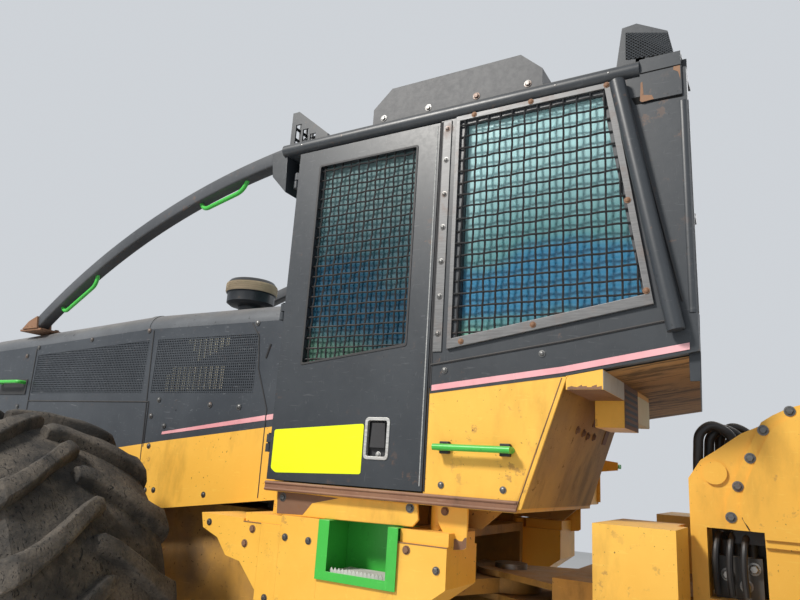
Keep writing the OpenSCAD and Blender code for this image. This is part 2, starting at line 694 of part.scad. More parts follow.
// Curved bars from the roof's front corners down to the hood's nose
sweep_a = [roof_front_x + 26, roof_z - 40];
sweep_b = [front_x + 1010, hood_top_z + 12];
sweep_sag = 128;
sweep_t = 75;
sweep_yaw = 4.5;
module sweeps() {
    d = norm(sweep_b - sweep_a);
    r = (d * d / 4 + sweep_sag * sweep_sag) / (2 * sweep_sag);
    n = [sweep_a[1] - sweep_b[1], sweep_b[0] - sweep_a[0]] / d;
    c = (sweep_a + sweep_b) / 2 - n * (r - sweep_sag);
    t0 = atan2(sweep_b[1] - c[1], sweep_b[0] - c[0]) - 0.4;
    t1 = atan2(sweep_a[1] - c[1], sweep_a[0] - c[0]);
    color(BLACK) both() {
        translate([sweep_a[0], cab_hw - 52, 0]) rotate([0, 0, -sweep_yaw])
            translate([c[0] - sweep_a[0], sweep_t / 2, c[1]]) rotate([90, 0, 0]) rotate([0, 0, t0])
            rotate_extrude(angle = t1 - t0, $fn = 360) translate([r - sweep_t / 2, 0]) square([sweep_t, sweep_t]);
        // Bracket on the hood
        block([front_x + 960, hood_hw - 200, hood_edge(front_x + 960) + hood_r + seat_gap], [front_x + 1190, hood_hw + 25, hood_edge(front_x + 960) + hood_r + 30]);
    }
}

// Guards round the roof lamps, front and rear, with the bars over their openings
lamp_w = 220;
lamp_l = 228;
lamp_front_x = roof_front_x + 9 - lamp_l;
lamp_back_x = roof_rear_x - 134;
lamp_place_y = cab_hw - 260;
// Where each guard stands: x, y, height, whether it looks back, and whether it is high at its back
lamp_places = [[lamp_front_x, lamp_place_y, 196, 0, 0], [lamp_front_x, -lamp_place_y - lamp_w, 196, 0, 0],
    [lamp_back_x, lamp_place_y, 190, 1, 1], [roof_rear_x + 12, -lamp_place_y - lamp_w, 146, 1, 0]];
function lamp_off(p) = lamp_l - (p[4] > 0 ? 90 : 50);
// Section of a guard as x and z, smaller by t all round
function lamp_shape(p, t) = p[4] > 0
    ? [[t, t], [lamp_l - 18 - t, t], [lamp_l - 40 - t, 0.66 * p[2] - t], [80, p[2] - t], [27 + t, p[2] - 5 - t]]
    : [[t, t], [lamp_l - t, t], [lamp_l - t, p[2] - t], [lamp_l - 40, p[2] - t], [t, 40 + t * 0.3]];
module lamp_guards() {
    t = 8;
    color(BLACK) for (p = lamp_places) translate([p[0] + p[3] * lamp_l, p[1], roof_z + seat_gap]) mirror([p[3], 0, 0])
        difference() {
            along_y(0, lamp_w) polygon(lamp_shape(p, 0));
            along_y(t, lamp_w - t) polygon(lamp_shape(p, t));
            for (i = [0:3], j = [0:2 - p[4]]) block([lamp_l - 2 * t - 36 * p[4], 20 + 47 * i, 18 + (p[2] - 26 - 40 * p[4]) / 3 * j],
                [lamp_l + t, 57 + 47 * i, (p[2] - 26 - 40 * p[4]) / 3 * (j + 1) + 6]);
            for (i = [1:3 - p[4]]) block([26 + 47 * i, lamp_w - t - 1, 26],
                [60 + 47 * i, lamp_w + 1, 24 + (p[2] - 60) / 4 * (p[4] > 0 ? 4 - i : i)]);
        }
    // Shelf and plate that carry the left rear guard behind the roof
    color(BLACK) {
        block([lamp_back_x - 5, lamp_place_y, roof_z - 10], [roof_rear_x - seat_gap, cab_hw + 8, roof_z]);
        block([lamp_back_x - 5, cab_hw + seat_gap, head_z - 108], [roof_rear_x - seat_gap, cab_hw + 8, roof_z - 1]);
    }
}

// Lamps inside their guards
module lamps() {
    color(STEEL) for (p = lamp_places) translate([p[0] + p[3] * lamp_l, p[1], roof_z + seat_gap]) mirror([p[3], 0, 0]) {
        translate([lamp_off(p), lamp_w / 2, 62]) rod_x(44, -30, 30, 48);
        translate([lamp_off(p), lamp_w / 2, 8 + seat_gap]) cylinder(r = 12, h = 30, $fn = 24);
    }
}

// Air pre-cleaner on the hood
module pre_cleaner() {
    color(BLACK) translate([cleaner_x, 150, hood_top_z - 100]) rotate_extrude($fn = 72)
        polygon([[0, 0], [69, 0], [69, 215], [120, 222], [140, 236], [140, 290], [148, 294], [148, 352],
            [132, 372], [0, 390]]);
}

// Exhaust stack on the hood
module exhaust() {
    color(GREY) {
        translate([exhaust_x, -330, hood_top_z - 100]) cylinder(r = 84, h = 270, $fn = 48);
        translate([exhaust_x, -330, hood_top_z + 169]) cylinder(r = 48, h = 90, $fn = 48);
    }
}

// Step boxes beside the frame: closed boxes round an open pocket with green plates
module steps() {
    x0 = cab_x - 644;
    x1 = cab_x - 298;
    g = seat_gap;
    y0 = frame_hw + g;
    top = frame_top_z + 17;
    pocket_y = cab_hw - 190;
    color(YELLOW) both() {
        along_y(frame_hw + 90, cab_hw) polygon([[x0 - 208, 1270], [x0 - g, 1120], [x0 - g, 1411], [x0 - 208, 1411]]);
        block([x0 - 209, 560, 1411 + g], [x0 - 12, 790, top]);
        translate([x0 - 120, 680, top + g]) cylinder(r = 37, h = floor_z - top - 2 * g, $fn = 48);
        block([x0, y0, 1121], [x1, cab_hw, 1243 - g]);
        block([x0, y0, 1243], [x1, pocket_y - g, top]);
        block([x1 + g, y0, 1121], [x1 + 200, cab_hw, top]);
        block([x1 + 200 + g, y0, 1121], [x1 + 304, cab_hw, 1417]);
        block([x1 + 201, 560, 1417 + g], [x1 + 401, 790, top - 5]);
        translate([x1 + 300, 680, top - 5 + g]) cylinder(r = 37, h = floor_z - top + 5 - 2 * g, $fn = 48);
        along_y(y0, cab_hw) polygon([[x1 + 304 + g, 1158], [x1 + 311, 1164], [x1 + 402, 1256], [x1 + 484, 1271],
            [x1 + 543, 1337], [x1 + 633, 1370], [x1 + 650, 1431], [x1 + 402, 1427], [x1 + 402, 1417], [x1 + 304 + g, 1417]]);
    }
    color(GREEN) both() {
        block([x0 + g, pocket_y, 1243 + g], [x1 - g, cab_hw + 6, 1259]);
        for (x = [x0 + g, x1 - 12 - g]) block([x, pocket_y, 1259 + g], [x + 12, cab_hw + 6, top - 2]);
        block([x0 + 13 + 2 * g, pocket_y, 1259 + g], [x1 - 13 - 2 * g, pocket_y + 12, top - 2]);
    }
}

// Green grab rails on the sweeps, cab and hood
module grab_rails() {
    color(GREEN) both() {
        translate([post_rear_x + 23, cab_hw, floor_z + 207]) grab(296, 45);
    }
}
module grab(l, h) {
    translate([-l, h, 0]) rod_x(12, 0, l, 24);
    for (x = [-l + 12, -12]) translate([x, 0, 0]) rod_y(12, seat_gap, h, 24);
}

// Rear frame with the hitch ears, steering ears and tail
module rear_chassis() {
    inner = rear_hw - plate_t;
    nose = pivot_x - 300;
    color(YELLOW) difference() {
        union() {
            both() along_y(inner, rear_hw) difference() {
                polygon([[nose, belly_z], [nose, rear_top_z], [rear_frame_x, rear_top_z], [rear_frame_x, belly_z + 150],
                    [rear_frame_x + 150, belly_z]]);
                translate([rear_x, axle_z]) circle(r = axle_r + 60, $fn = 48);
                translate([rear_x - axle_r - 60, belly_z - 10]) square([2 * axle_r + 120, axle_z - belly_z + 10]);
            }
            block([nose - plate_t, -inner - 1, belly_z], [nose, inner + 1, rear_top_z]);
            block([rear_frame_x, -inner, rear_top_z - plate_t], [nose, inner, rear_top_z]);
            block([rear_frame_x + 150, -inner, belly_z], [rear_x - axle_r - 70, inner, belly_z + 20]);
            block([rear_x + axle_r + 70, -inner, belly_z], [nose, inner, belly_z + 20]);
            block([rear_frame_x, -inner, belly_z + 150], [rear_frame_x + plate_t, inner, rear_top_z]);
            // Hitch ears, above and below each tongue
            for (z = [tongue_low_z, tongue_high_z])
                for (e = [z - ear_gap - 24, z + tongue_t + ear_gap])
                    along_z(e, e + 24) ear_shape(150);
            // Steering ears
            for (z = [steer_z - eye_t / 2 - ear_gap - ear_t, steer_z + eye_t / 2 + ear_gap])
                along_z(z, z + ear_t) translate([pivot_x, 0]) polygon([[-301, -310], [-200, -310],
                    [-90, -300], [-60, -250], [-60, -190], [-190, -120], [-190, 120], [-60, 190],
                    [-60, 250], [-90, 300], [-200, 310], [-301, 310]]);
        }
        for (z = [tongue_low_z, tongue_high_z]) translate([pivot_x, 0, z - 60])
            cylinder(r = hitch_r + fit, h = tongue_t + 120, $fn = 64);
    }
}
module ear_shape(r) {
    translate([pivot_x, 0]) {
        circle(r = r, $fn = 64);
        polygon([[0, -r], [-301, -310], [-301, 310], [0, r]]);
    }
}

// Upper and lower pins of the articulated hitch
module hitch_pins() {
    color(STEEL) for (z = [tongue_low_z, tongue_high_z]) translate([pivot_x, 0, z]) {
        translate([0, 0, -ear_gap - 24]) cylinder(r = hitch_r, h = tongue_t + 2 * ear_gap + 48, $fn = 64);
        translate([0, 0, tongue_t + ear_gap + 24 + seat_gap]) cylinder(r = hitch_r + 22, h = 22, $fn = 64);
        translate([0, 0, tongue_t + ear_gap + 20]) cylinder(r = hitch_r, h = 6, $fn = 64);
    }
}

// Fuel and oil tanks beside the rear frame's front
module tank() {
    color(YELLOW) both() along_z(belly_z + 230, floor_z - run - 1) polygon([[pivot_x - 786, rear_hw + seat_gap],
        [pivot_x - 570, rear_hw + seat_gap], [pivot_x - 570, cab_hw], [pivot_x - 820, cab_hw],
        [pivot_x - 820, winch_plate_y + 75], [pivot_x - 786, winch_plate_y + 75]]);
}

// Winch: two side plates with round cases on a base, open between them for the drum
winch_plate_y = 470;
winch_front_x = winch_x + 495;
winch_back_x = winch_x - 470;
case_half = [[330, -110], [373, -53], [385, -15], [378, 29], [347, 107], [303, 203], [264, 281], [230, 304], [185, 327],
    [150, 338], [75, 352]];
function case_outline(k) = let (h = concat(case_half, [[0, 358]]), n = len(case_half))
    [for (i = [0:2 * n]) let (q = i <= n ? h[i] : [-h[2 * n - i][0], h[2 * n - i][1]])
        [winch_x + q[0] * k, winch_z + 110 + (q[1] - 110) * k]];
module winch_housing() {
    inner = drum_w / 2 + run;
    base_z = rear_top_z + seat_gap;
    color(YELLOW) difference() {
        union() {
            both() translate([winch_x, 0, winch_z]) rod_y(case_r - 20, inner, winch_plate_y - 1, 72);
            // Raised gear case with its bolted band
            both() along_y(winch_plate_y - 1, winch_plate_y + 62) polygon(case_outline(1));
            both() along_y(winch_plate_y + 61, winch_plate_y + 72) polygon(case_outline(0.89));
            both() translate([winch_x, 0, winch_z]) rod_y(150, winch_plate_y + 71, winch_plate_y + 92, 64);
            both() along_y(winch_plate_y - 40, winch_plate_y + 50) polygon([[winch_front_x, base_z], [winch_front_x, winch_z + 90],
                [winch_front_x - 40, winch_z + 151], [winch_front_x - 89, winch_z + 185], [winch_front_x - 168, winch_z + 243],
                [winch_x + 150, winch_z + 325],
                [winch_x - 150, winch_z + 325], [winch_back_x, winch_z + 100], [winch_back_x, base_z]]);
            // Plug, front wall and base
            both() translate([winch_front_x - 83, 0, winch_z + 112]) rod_y(38, winch_plate_y + 49, winch_plate_y + 60, 48);
            block([winch_back_x, -winch_plate_y, base_z], [winch_front_x, winch_plate_y, base_z + 26]);
            block([winch_front_x - 40, -winch_plate_y, base_z], [winch_front_x, winch_plate_y, winch_z + 60]);
        }
        translate([winch_x, 0, winch_z]) rod_y(60 + fit, -inner - 120, inner + 120, 64);
        block([winch_back_x - 1, -winch_plate_y - 300, winch_z - case_r - 60], [winch_front_x + 1, winch_plate_y + 300, base_z]);
        // Valve bay, open to the side
        both() block([winch_x + 275, inner + 30, base_z + 26], [winch_x + 445, winch_plate_y + 200, winch_z - 65]);
    }
}

// Valve block with its hoses in the frame's side
module valve_block() {
    z0 = rear_top_z + seat_gap + 26.5;
    color(GREY) both() block([winch_x + 290, drum_w / 2 + 60, z0], [winch_x + 430, winch_plate_y - 10, z0 + 130]);
    color(GREY) both() for (i = [0:2]) translate([winch_x + 318 + 42 * i, winch_plate_y - 60, z0 + 129])
        cylinder(r = 15, h = 50, $fn = 32);
}

// Drum with two flanges, its shaft and the wound rope
module winch_drum() {
    color(STEEL) translate([winch_x, 0, winch_z]) {
        rod_y(drum_r, -drum_w / 2 + 24, drum_w / 2 - 24, 64);
        both() rod_y(flange_r, drum_w / 2 - 25, drum_w / 2, 72);
        rod_y(60, -drum_w / 2 - 110, drum_w / 2 + 110, 64);
        rod_y(drum_r + 50, -drum_w / 2 + 30, drum_w / 2 - 30, 64);
    }
}

// Arch over the rear axle with the fairlead and the butt plate
fair_x = rear_x - tail_reach + 180;
fair_z = 2150;
fair_w = 420;
module fairlead_arch() {
    color(YELLOW) difference() {
        union() {
            both() along_y(fair_w / 2 + 20, fair_w / 2 + 60) polygon([[arch_x + 260, rear_top_z + seat_gap], [arch_x + 120, 1800],
                [fair_x + 120, 2420], [fair_x - 90, 2420], [fair_x - 90, 1900], [rear_frame_x + 30, rear_top_z + seat_gap]]);
            block([fair_x - 60, -fair_w / 2 - 21, 2360], [fair_x + 100, fair_w / 2 + 21, 2420]);
            block([rear_frame_x + 40, -fair_w / 2 - 21, rear_top_z + seat_gap], [arch_x + 250, fair_w / 2 + 21, rear_top_z + 30]);
            // Butt plate
            both() block([rear_x - tail_reach, -1, belly_z + 160], [rear_x - tail_reach + 40, 560, 1500]);
            both() block([rear_x - tail_reach + 39, 232, belly_z + 200], [rear_frame_x - seat_gap, 268, 1300]);
            both() block([rear_x - tail_reach + 39, 232, rear_top_z + seat_gap], [rear_frame_x + 200, 268, 1480]);
        }
        translate([fair_x, 0, fair_z - 150]) rod_y(30 + fit, -fair_w / 2 - 61, fair_w / 2 + 61, 48);
        translate([rear_x - tail_reach, 0, 900]) rod_x(tow_r, -1, 41, 48);
    }
    // Cross plates that carry the upright rollers
    color(YELLOW) difference() {
        block([fair_x - 80, -fair_w / 2 - 20.5, 2300], [fair_x + 80, fair_w / 2 + 20.5, 2330]);
        for (s = [-1, 1]) translate([fair_x - 20, s * (fair_w / 2 - roller_r - 10), 2290])
            cylinder(r = 25 + fit, h = 60, $fn = 48);
    }
}

// Fairlead rollers: one level, two upright
module roller_low() {
    color(STEEL) translate([fair_x, 0, fair_z - 150]) {
        rod_y(roller_r, -fair_w / 2 + 14, fair_w / 2 - 14, 48);
        rod_y(30, -fair_w / 2 - 50, fair_w / 2 + 50, 48);
    }
}
module roller_up(s) {
    color(STEEL) translate([fair_x - 20, s * (fair_w / 2 - roller_r - 10), 0]) {
        translate([0, 0, fair_z - 150 + roller_r + 12]) cylinder(r = roller_r, h = 2292 - fair_z + 150 - roller_r - 12, $fn = 48);
        translate([0, 0, 2285]) cylinder(r = 25, h = 43, $fn = 48);
    }
}
module roller_left() { roller_up(1); }
module roller_right() { roller_up(-1); }

// Dozer blade: a curved plate with end plates
module blade() {
    x1 = front_x + blade_reach;
    back_x = x1 - blade_set;
    color(YELLOW) both() block([back_x, 0, blade_z + 140], [x1 - 70, arm_y + arm_t, blade_z + 180]);
    color(YELLOW) both() block([back_x, 0, blade_z + 480], [x1 - 70, arm_y + arm_t, blade_z + 520]);
    color(YELLOW) both() for (y = [0, arm_y - arm_t / 2 - 60, arm_y + arm_t / 2])
        block([back_x, y, blade_z + 140], [x1 - 70, y + 40, blade_z + 520]);
    r = 900;
    half = asin(blade_h / 2 / r);
    color(YELLOW) along_y(-blade_w / 2, blade_w / 2) intersection() {
        difference() {
            translate([x1 - r * (1 - cos(half)) - 0 + r * (1) - 0, blade_z + blade_h / 2]) circle(r = r + 0, $fn = 180);
            translate([x1 - r * (1 - cos(half)) + r + 24, blade_z + blade_h / 2]) circle(r = r, $fn = 180);
        }
        translate([x1 - 260, blade_z]) square([260, blade_h]);
    }
}

// Arms from the frame to the blade, with their cross tube
module blade_arms() {
    back_x = front_x + blade_reach - blade_set - seat_gap;
    color(YELLOW) difference() {
        union() {
            both() along_y(arm_y - arm_t / 2, arm_y + arm_t / 2) polygon([[arm_pin_x - 80, arm_pin_z - 60],
                [arm_pin_x - 80, arm_pin_z + 60], [arm_pin_x + 60, arm_pin_z + 90], [lift_low_x, lift_low_z + 60],
                [back_x, blade_z + 520], [back_x, blade_z + 120], [lift_low_x + 80, lift_low_z - 110]]);
            translate([back_x - 120, 0, blade_z + 260]) rod_y(70, -arm_y, arm_y, 48);
        }
        both() translate([arm_pin_x, 0, arm_pin_z]) rod_y(34, arm_y - arm_t, arm_y + arm_t, 48);
    }
}

// Lift cylinders of the blade: angle of their axis from straight down
lift_d = [lift_low_x - lift_top_x, lift_low_z - lift_top_z];
lift_len = norm(lift_d);
lift_tilt = atan2(lift_d[0], -lift_d[1]);
module lift_frame() {
    both() translate([lift_top_x, lift_y, lift_top_z]) rotate([0, 180 - lift_tilt, 0]) children();
}
module blade_barrels() {
    color(BLACK) lift_frame() difference() {
        union() {
            translate([0, -28, 0]) rod_y(46, 0, 56, 48);
            translate([0, 0, 30]) cylinder(r = lift_barrel_r, h = 420, $fn = 48);
        }
        rod_y(24 + fit, -60, 60, 48);
        translate([0, 0, 70]) cylinder(r = lift_rod_r + fit, h = 400, $fn = 48);
    }
}
module blade_rods() {
    color(STEEL) lift_frame() {
        translate([0, 0, lift_len - 440]) cylinder(r = lift_rod_r, h = 410, $fn = 48);
        translate([0, 0, lift_len]) rod_y(40, -30, 30, 48);
        translate([0, 0, lift_len]) rod_y(22, -40, 44, 48);
    }
}

// Steering cylinders: barrels on the front frame, rods towards the rear frame
steer_len = steer_a + steer_b;
module steer_barrel(s) {
    color(BLACK) translate([pivot_x + steer_a, s * steer_y, steer_z]) rotate([0, -90, 0]) difference() {
        union() {
            rotate([0, 90, 0]) translate([0, 0, -eye_t / 2]) cylinder(r = 46, h = eye_t, $fn = 48);
            block([-eye_t / 2, -36, 20], [eye_t / 2, 36, 80]);
            translate([0, 0, 60 + run]) cylinder(r = steer_barrel_r, h = 580 - run, $fn = 48);
        }
        rotate([0, 90, 0]) translate([0, 0, -60]) cylinder(r = 24 + fit, h = 120, $fn = 48);
        translate([0, 0, 80]) cylinder(r = steer_rod_r + fit, h = 600, $fn = 48);
    }
}
module steer_rod(s) {
    color(STEEL) translate([pivot_x + steer_a, s * steer_y, steer_z]) rotate([0, -90, 0]) {
        translate([0, 0, steer_len - 600]) cylinder(r = steer_rod_r, h = 560, $fn = 48);
        translate([0, 0, steer_len]) rotate([0, 90, 0]) translate([0, 0, -eye_t / 2]) cylinder(r = 46, h = eye_t, $fn = 48);
    }
}
module steer_barrel_left() { steer_barrel(1); }
module steer_barrel_right() { steer_barrel(-1); }
module steer_rod_left() { steer_rod(1); }
module steer_rod_right() { steer_rod(-1); }

// One lug on the tread, drawn on the tangent plane: x along the tread, y across
module lug_shape() {
    polygon([[160, -28], [160 - lug_w * 0.8, -34], [60, 50], [-34, 170], [-106, 270], [-136, tyre_w / 2 - 22],
        [-136 + lug_w * 1.35, tyre_w / 2 - 22], [-106 + lug_w * 1.3, 282], [-34 + lug_w * 1.2, 186], [60 + lug_w * 1.15, 76]]);
}

// A tyre about Y, centred on the origin: carcass and lugs
module tyre() {
    hw = tyre_w / 2;
    base = tyre_r - lug_h;
    color(RUBBER) {
        rotate([90, 0, 0]) rotate_extrude($fn = 72) polygon([[rim_r + 0.5, -hw + 58], [rim_r + 40, -hw + 30],
            [rim_r + 190, -hw], [base - 90, -hw + 12], [base - 18, -hw + 52], [base, -hw + 170],
            [base, hw - 170], [base - 18, hw - 52], [base - 90, hw - 12], [rim_r + 190, hw],
            [rim_r + 40, hw - 30], [rim_r + 0.5, hw - 58]]);
        intersection() {
            union() for (i = [0:lug_n - 1], s = [0, 1])
                rotate([0, (i + s / 2) * 360 / lug_n, 0]) mirror([0, s, 0])
                    translate([0, 0, base - 90]) linear_extrude(height = lug_h + 110) lug_shape();
            rotate([90, 0, 0]) rotate_extrude($fn = 120) polygon([[base - 100, -hw + 8], [tyre_r - 42, -hw + 18],
                [tyre_r, -hw + 110], [tyre_r, hw - 110], [tyre_r - 42, hw - 18], [base - 100, hw - 8]]);
        }
    }
}
module wheel_place(x, s) {
    translate([x, s * wheel_y, axle_z]) if (s > 0) children(); else mirror([0, 1, 0]) children();
}

// A rim about Y with its hub and disc, its outer side towards +Y
module rim_shell() {
    hw = tyre_w / 2;
    color(YELLOW) rotate([-90, 0, 0]) rotate_extrude($fn = 72) polygon([
        [spindle_r + fit, -165], [hub_r - 30, -165], [hub_r, -140], [hub_r, 52], [rim_r - 20, 52], [rim_r - 20, -hw + 45],
        [rim_r + 6, -hw + 26], [rim_r + 26, -hw + 26], [rim_r + 26, -hw + 38], [rim_r, -hw + 57], [rim_r, hw - 57],
        [rim_r + 26, hw - 38], [rim_r + 26, hw - 26], [rim_r + 6, hw - 26], [rim_r - 20, hw - 45], [rim_r - 20, 78],
        [hub_r, 78], [hub_r, 190], [hub_r - 40, 225], [0, 225], [0, 65], [spindle_r + fit, 65]]);
}

module tyre_front_left() { wheel_place(front_x, 1) tyre(); }
module tyre_front_right() { wheel_place(front_x, -1) tyre(); }
module tyre_rear_left() { wheel_place(rear_x, 1) tyre(); }
module tyre_rear_right() { wheel_place(rear_x, -1) tyre(); }
module rim_front_left() { wheel_place(front_x, 1) rim_shell(); }
module rim_front_right() { wheel_place(front_x, -1) rim_shell(); }
module rim_rear_left() { wheel_place(rear_x, 1) rim_shell(); }
module rim_rear_right() { wheel_place(rear_x, -1) rim_shell(); }

// A door: panel with its window and the handle's recess
module door() {
    color(BLACK) along_y(cab_hw - door_t, cab_hw) difference() {
        polygon([[door_rear_x, sill_z + 4], [door_rear_x, head_z - 6], [cab_x + 4, head_z - 6], [cab_x + 4, sill_z + 4]]);
        polygon(door_window(0));
        round_rect([door_rear_x + 152, floor_z + 149], [door_rear_x + 267, floor_z + 313], 18);
    }
    color(BLACK) along_y(cab_hw - door_t, cab_hw - door_t + 8)
        round_rect([door_rear_x + 151, floor_z + 148], [door_rear_x + 268, floor_z + 314], 18);
    // Hinge barrels at the front edge
    color(BLACK) for (z = hinge_zs) difference() {
        union() {
            block([cab_x - 6, hinge_y - 10, z + run], [hinge_x, hinge_y + 10, z + run + hinge_h]);
            translate([hinge_x, hinge_y, z + run]) cylinder(r = 12, h = hinge_h, $fn = 48);
        }
        translate([hinge_x, hinge_y, z]) cylinder(r = hinge_r + fit, h = 2 * hinge_h, $fn = 48);
    }
}
// Guard of a door's window, let into the opening
module door_mesh() {
    color(GREY) mesh_plate(cab_hw - 16, cab_hw - 10, door_window(-seat_gap),
        door_rear_x + door_stile - 14, cab_x - door_stile - 4, floor_z + 532, head_z - 91);
}
module door_pane() {
    color(GLASS) along_y(cab_hw - door_t + 3, cab_hw - door_t + 9) polygon(door_window(-seat_gap));
}
module door_left() { door(); }
module door_right() { mirror([0, 1, 0]) door(); }
module door_guard_left() { door_mesh(); }
module door_guard_right() { mirror([0, 1, 0]) door_mesh(); }
module door_glass_left() { door_pane(); }
module door_glass_right() { mirror([0, 1, 0]) door_pane(); }

front_chassis();
cab_subframe();
front_axle();
engine();
hood_top();
hood_sides();
radiator_grille();
cab_tub();
deck_boxes();
cab_side_left();
cab_side_right();
cab_front();
cab_rear();
cab_roof();
roof_box();
window_guards();
guard_wires();
cab_glass();
seat();
console();
sweeps();
lamp_guards();
lamps();
pre_cleaner();
exhaust();
steps();
grab_rails();
rear_chassis();
hitch_pins();
rear_axle();
tank();
winch_housing();
valve_block();
fairlead_arch();
winch_drum();
roller_low();
roller_left();
roller_right();
blade();
blade_arms();
blade_barrels();
blade_rods();
steer_barrel_left();
steer_barrel_right();
steer_rod_left();
steer_rod_right();
tyre_front_left();
tyre_front_right();
tyre_rear_left();
tyre_rear_right();
rim_front_left();
rim_front_right();
rim_rear_left();
rim_rear_right();
door_left();
door_right();
door_guard_left();
door_guard_right();
door_glass_left();
door_glass_right();
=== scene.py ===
"""Cable skidder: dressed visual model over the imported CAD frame.

Every piece is built in metres in the CAD's own frame: X forward, Y to the
machine's left, Z up. CAD nodes whose shape is right stay and get procedural
materials; tyres, window guards and other detailed pieces are built here and
ride on the bodies of the frame.
"""

from __future__ import annotations

import json
import logging
import math
import random
from dataclasses import dataclass
from enum import Enum
from typing import Callable, Iterable, Sequence

import bmesh
import bpy
from mathutils import Matrix, Vector

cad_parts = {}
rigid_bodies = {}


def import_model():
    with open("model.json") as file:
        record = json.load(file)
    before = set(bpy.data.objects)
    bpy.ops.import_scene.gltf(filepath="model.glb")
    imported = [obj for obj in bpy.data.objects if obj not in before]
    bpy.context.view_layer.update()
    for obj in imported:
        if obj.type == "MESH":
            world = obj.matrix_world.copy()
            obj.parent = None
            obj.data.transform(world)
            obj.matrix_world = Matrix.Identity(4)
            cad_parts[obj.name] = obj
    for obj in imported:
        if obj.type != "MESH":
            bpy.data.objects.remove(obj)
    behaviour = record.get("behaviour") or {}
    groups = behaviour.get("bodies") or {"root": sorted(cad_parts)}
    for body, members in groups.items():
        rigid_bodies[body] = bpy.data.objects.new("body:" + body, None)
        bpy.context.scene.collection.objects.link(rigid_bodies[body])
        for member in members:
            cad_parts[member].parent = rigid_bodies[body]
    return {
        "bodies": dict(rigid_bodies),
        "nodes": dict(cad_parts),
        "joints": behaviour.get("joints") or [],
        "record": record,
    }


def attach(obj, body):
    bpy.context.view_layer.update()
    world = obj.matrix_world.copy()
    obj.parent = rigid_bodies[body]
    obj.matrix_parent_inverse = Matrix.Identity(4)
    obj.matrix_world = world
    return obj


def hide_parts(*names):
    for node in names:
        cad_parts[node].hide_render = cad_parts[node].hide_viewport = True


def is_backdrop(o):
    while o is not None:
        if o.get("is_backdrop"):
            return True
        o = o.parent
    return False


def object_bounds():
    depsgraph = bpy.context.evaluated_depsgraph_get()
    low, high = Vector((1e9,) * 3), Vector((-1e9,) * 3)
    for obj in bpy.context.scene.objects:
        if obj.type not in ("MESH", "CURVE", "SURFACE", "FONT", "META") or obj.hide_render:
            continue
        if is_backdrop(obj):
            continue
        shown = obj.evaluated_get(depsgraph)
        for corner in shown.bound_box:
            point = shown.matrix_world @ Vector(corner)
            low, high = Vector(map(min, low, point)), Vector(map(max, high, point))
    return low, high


LOG = logging.getLogger("skidder")

Point = tuple[float, float, float]
Colour = tuple[float, float, float]
Pair = tuple[float, float]

SHARP_ANGLE = math.radians(32)  # edges sharper than this stay sharp in smooth shading
BEVEL_ANGLE = math.radians(35)  # edges sharper than this are rounded
BEVEL_SEGMENTS = 2


class Body(str, Enum):
    """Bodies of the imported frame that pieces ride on."""

    FRONT = "front"
    REAR = "rear"
    DOZER = "dozer"
    DRUM = "drum"
    DOOR_LEFT = "door_left_leaf"
    DOOR_RIGHT = "door_right_leaf"


class Slot(str, Enum):
    """Material slots of the record."""

    YELLOW = "yellow_paint"
    BLACK = "black_paint"
    GREY = "grey_paint"
    GREEN = "green_paint"
    STEEL = "bare_steel"
    RUBBER = "tyre_rubber"
    GLASS = "window_glass"
    SEAT = "seat_cover"


class Side(Enum):
    """Left or right of the machine, as the sign of Y."""

    LEFT = 1
    RIGHT = -1


# Node-graph helper and finishes


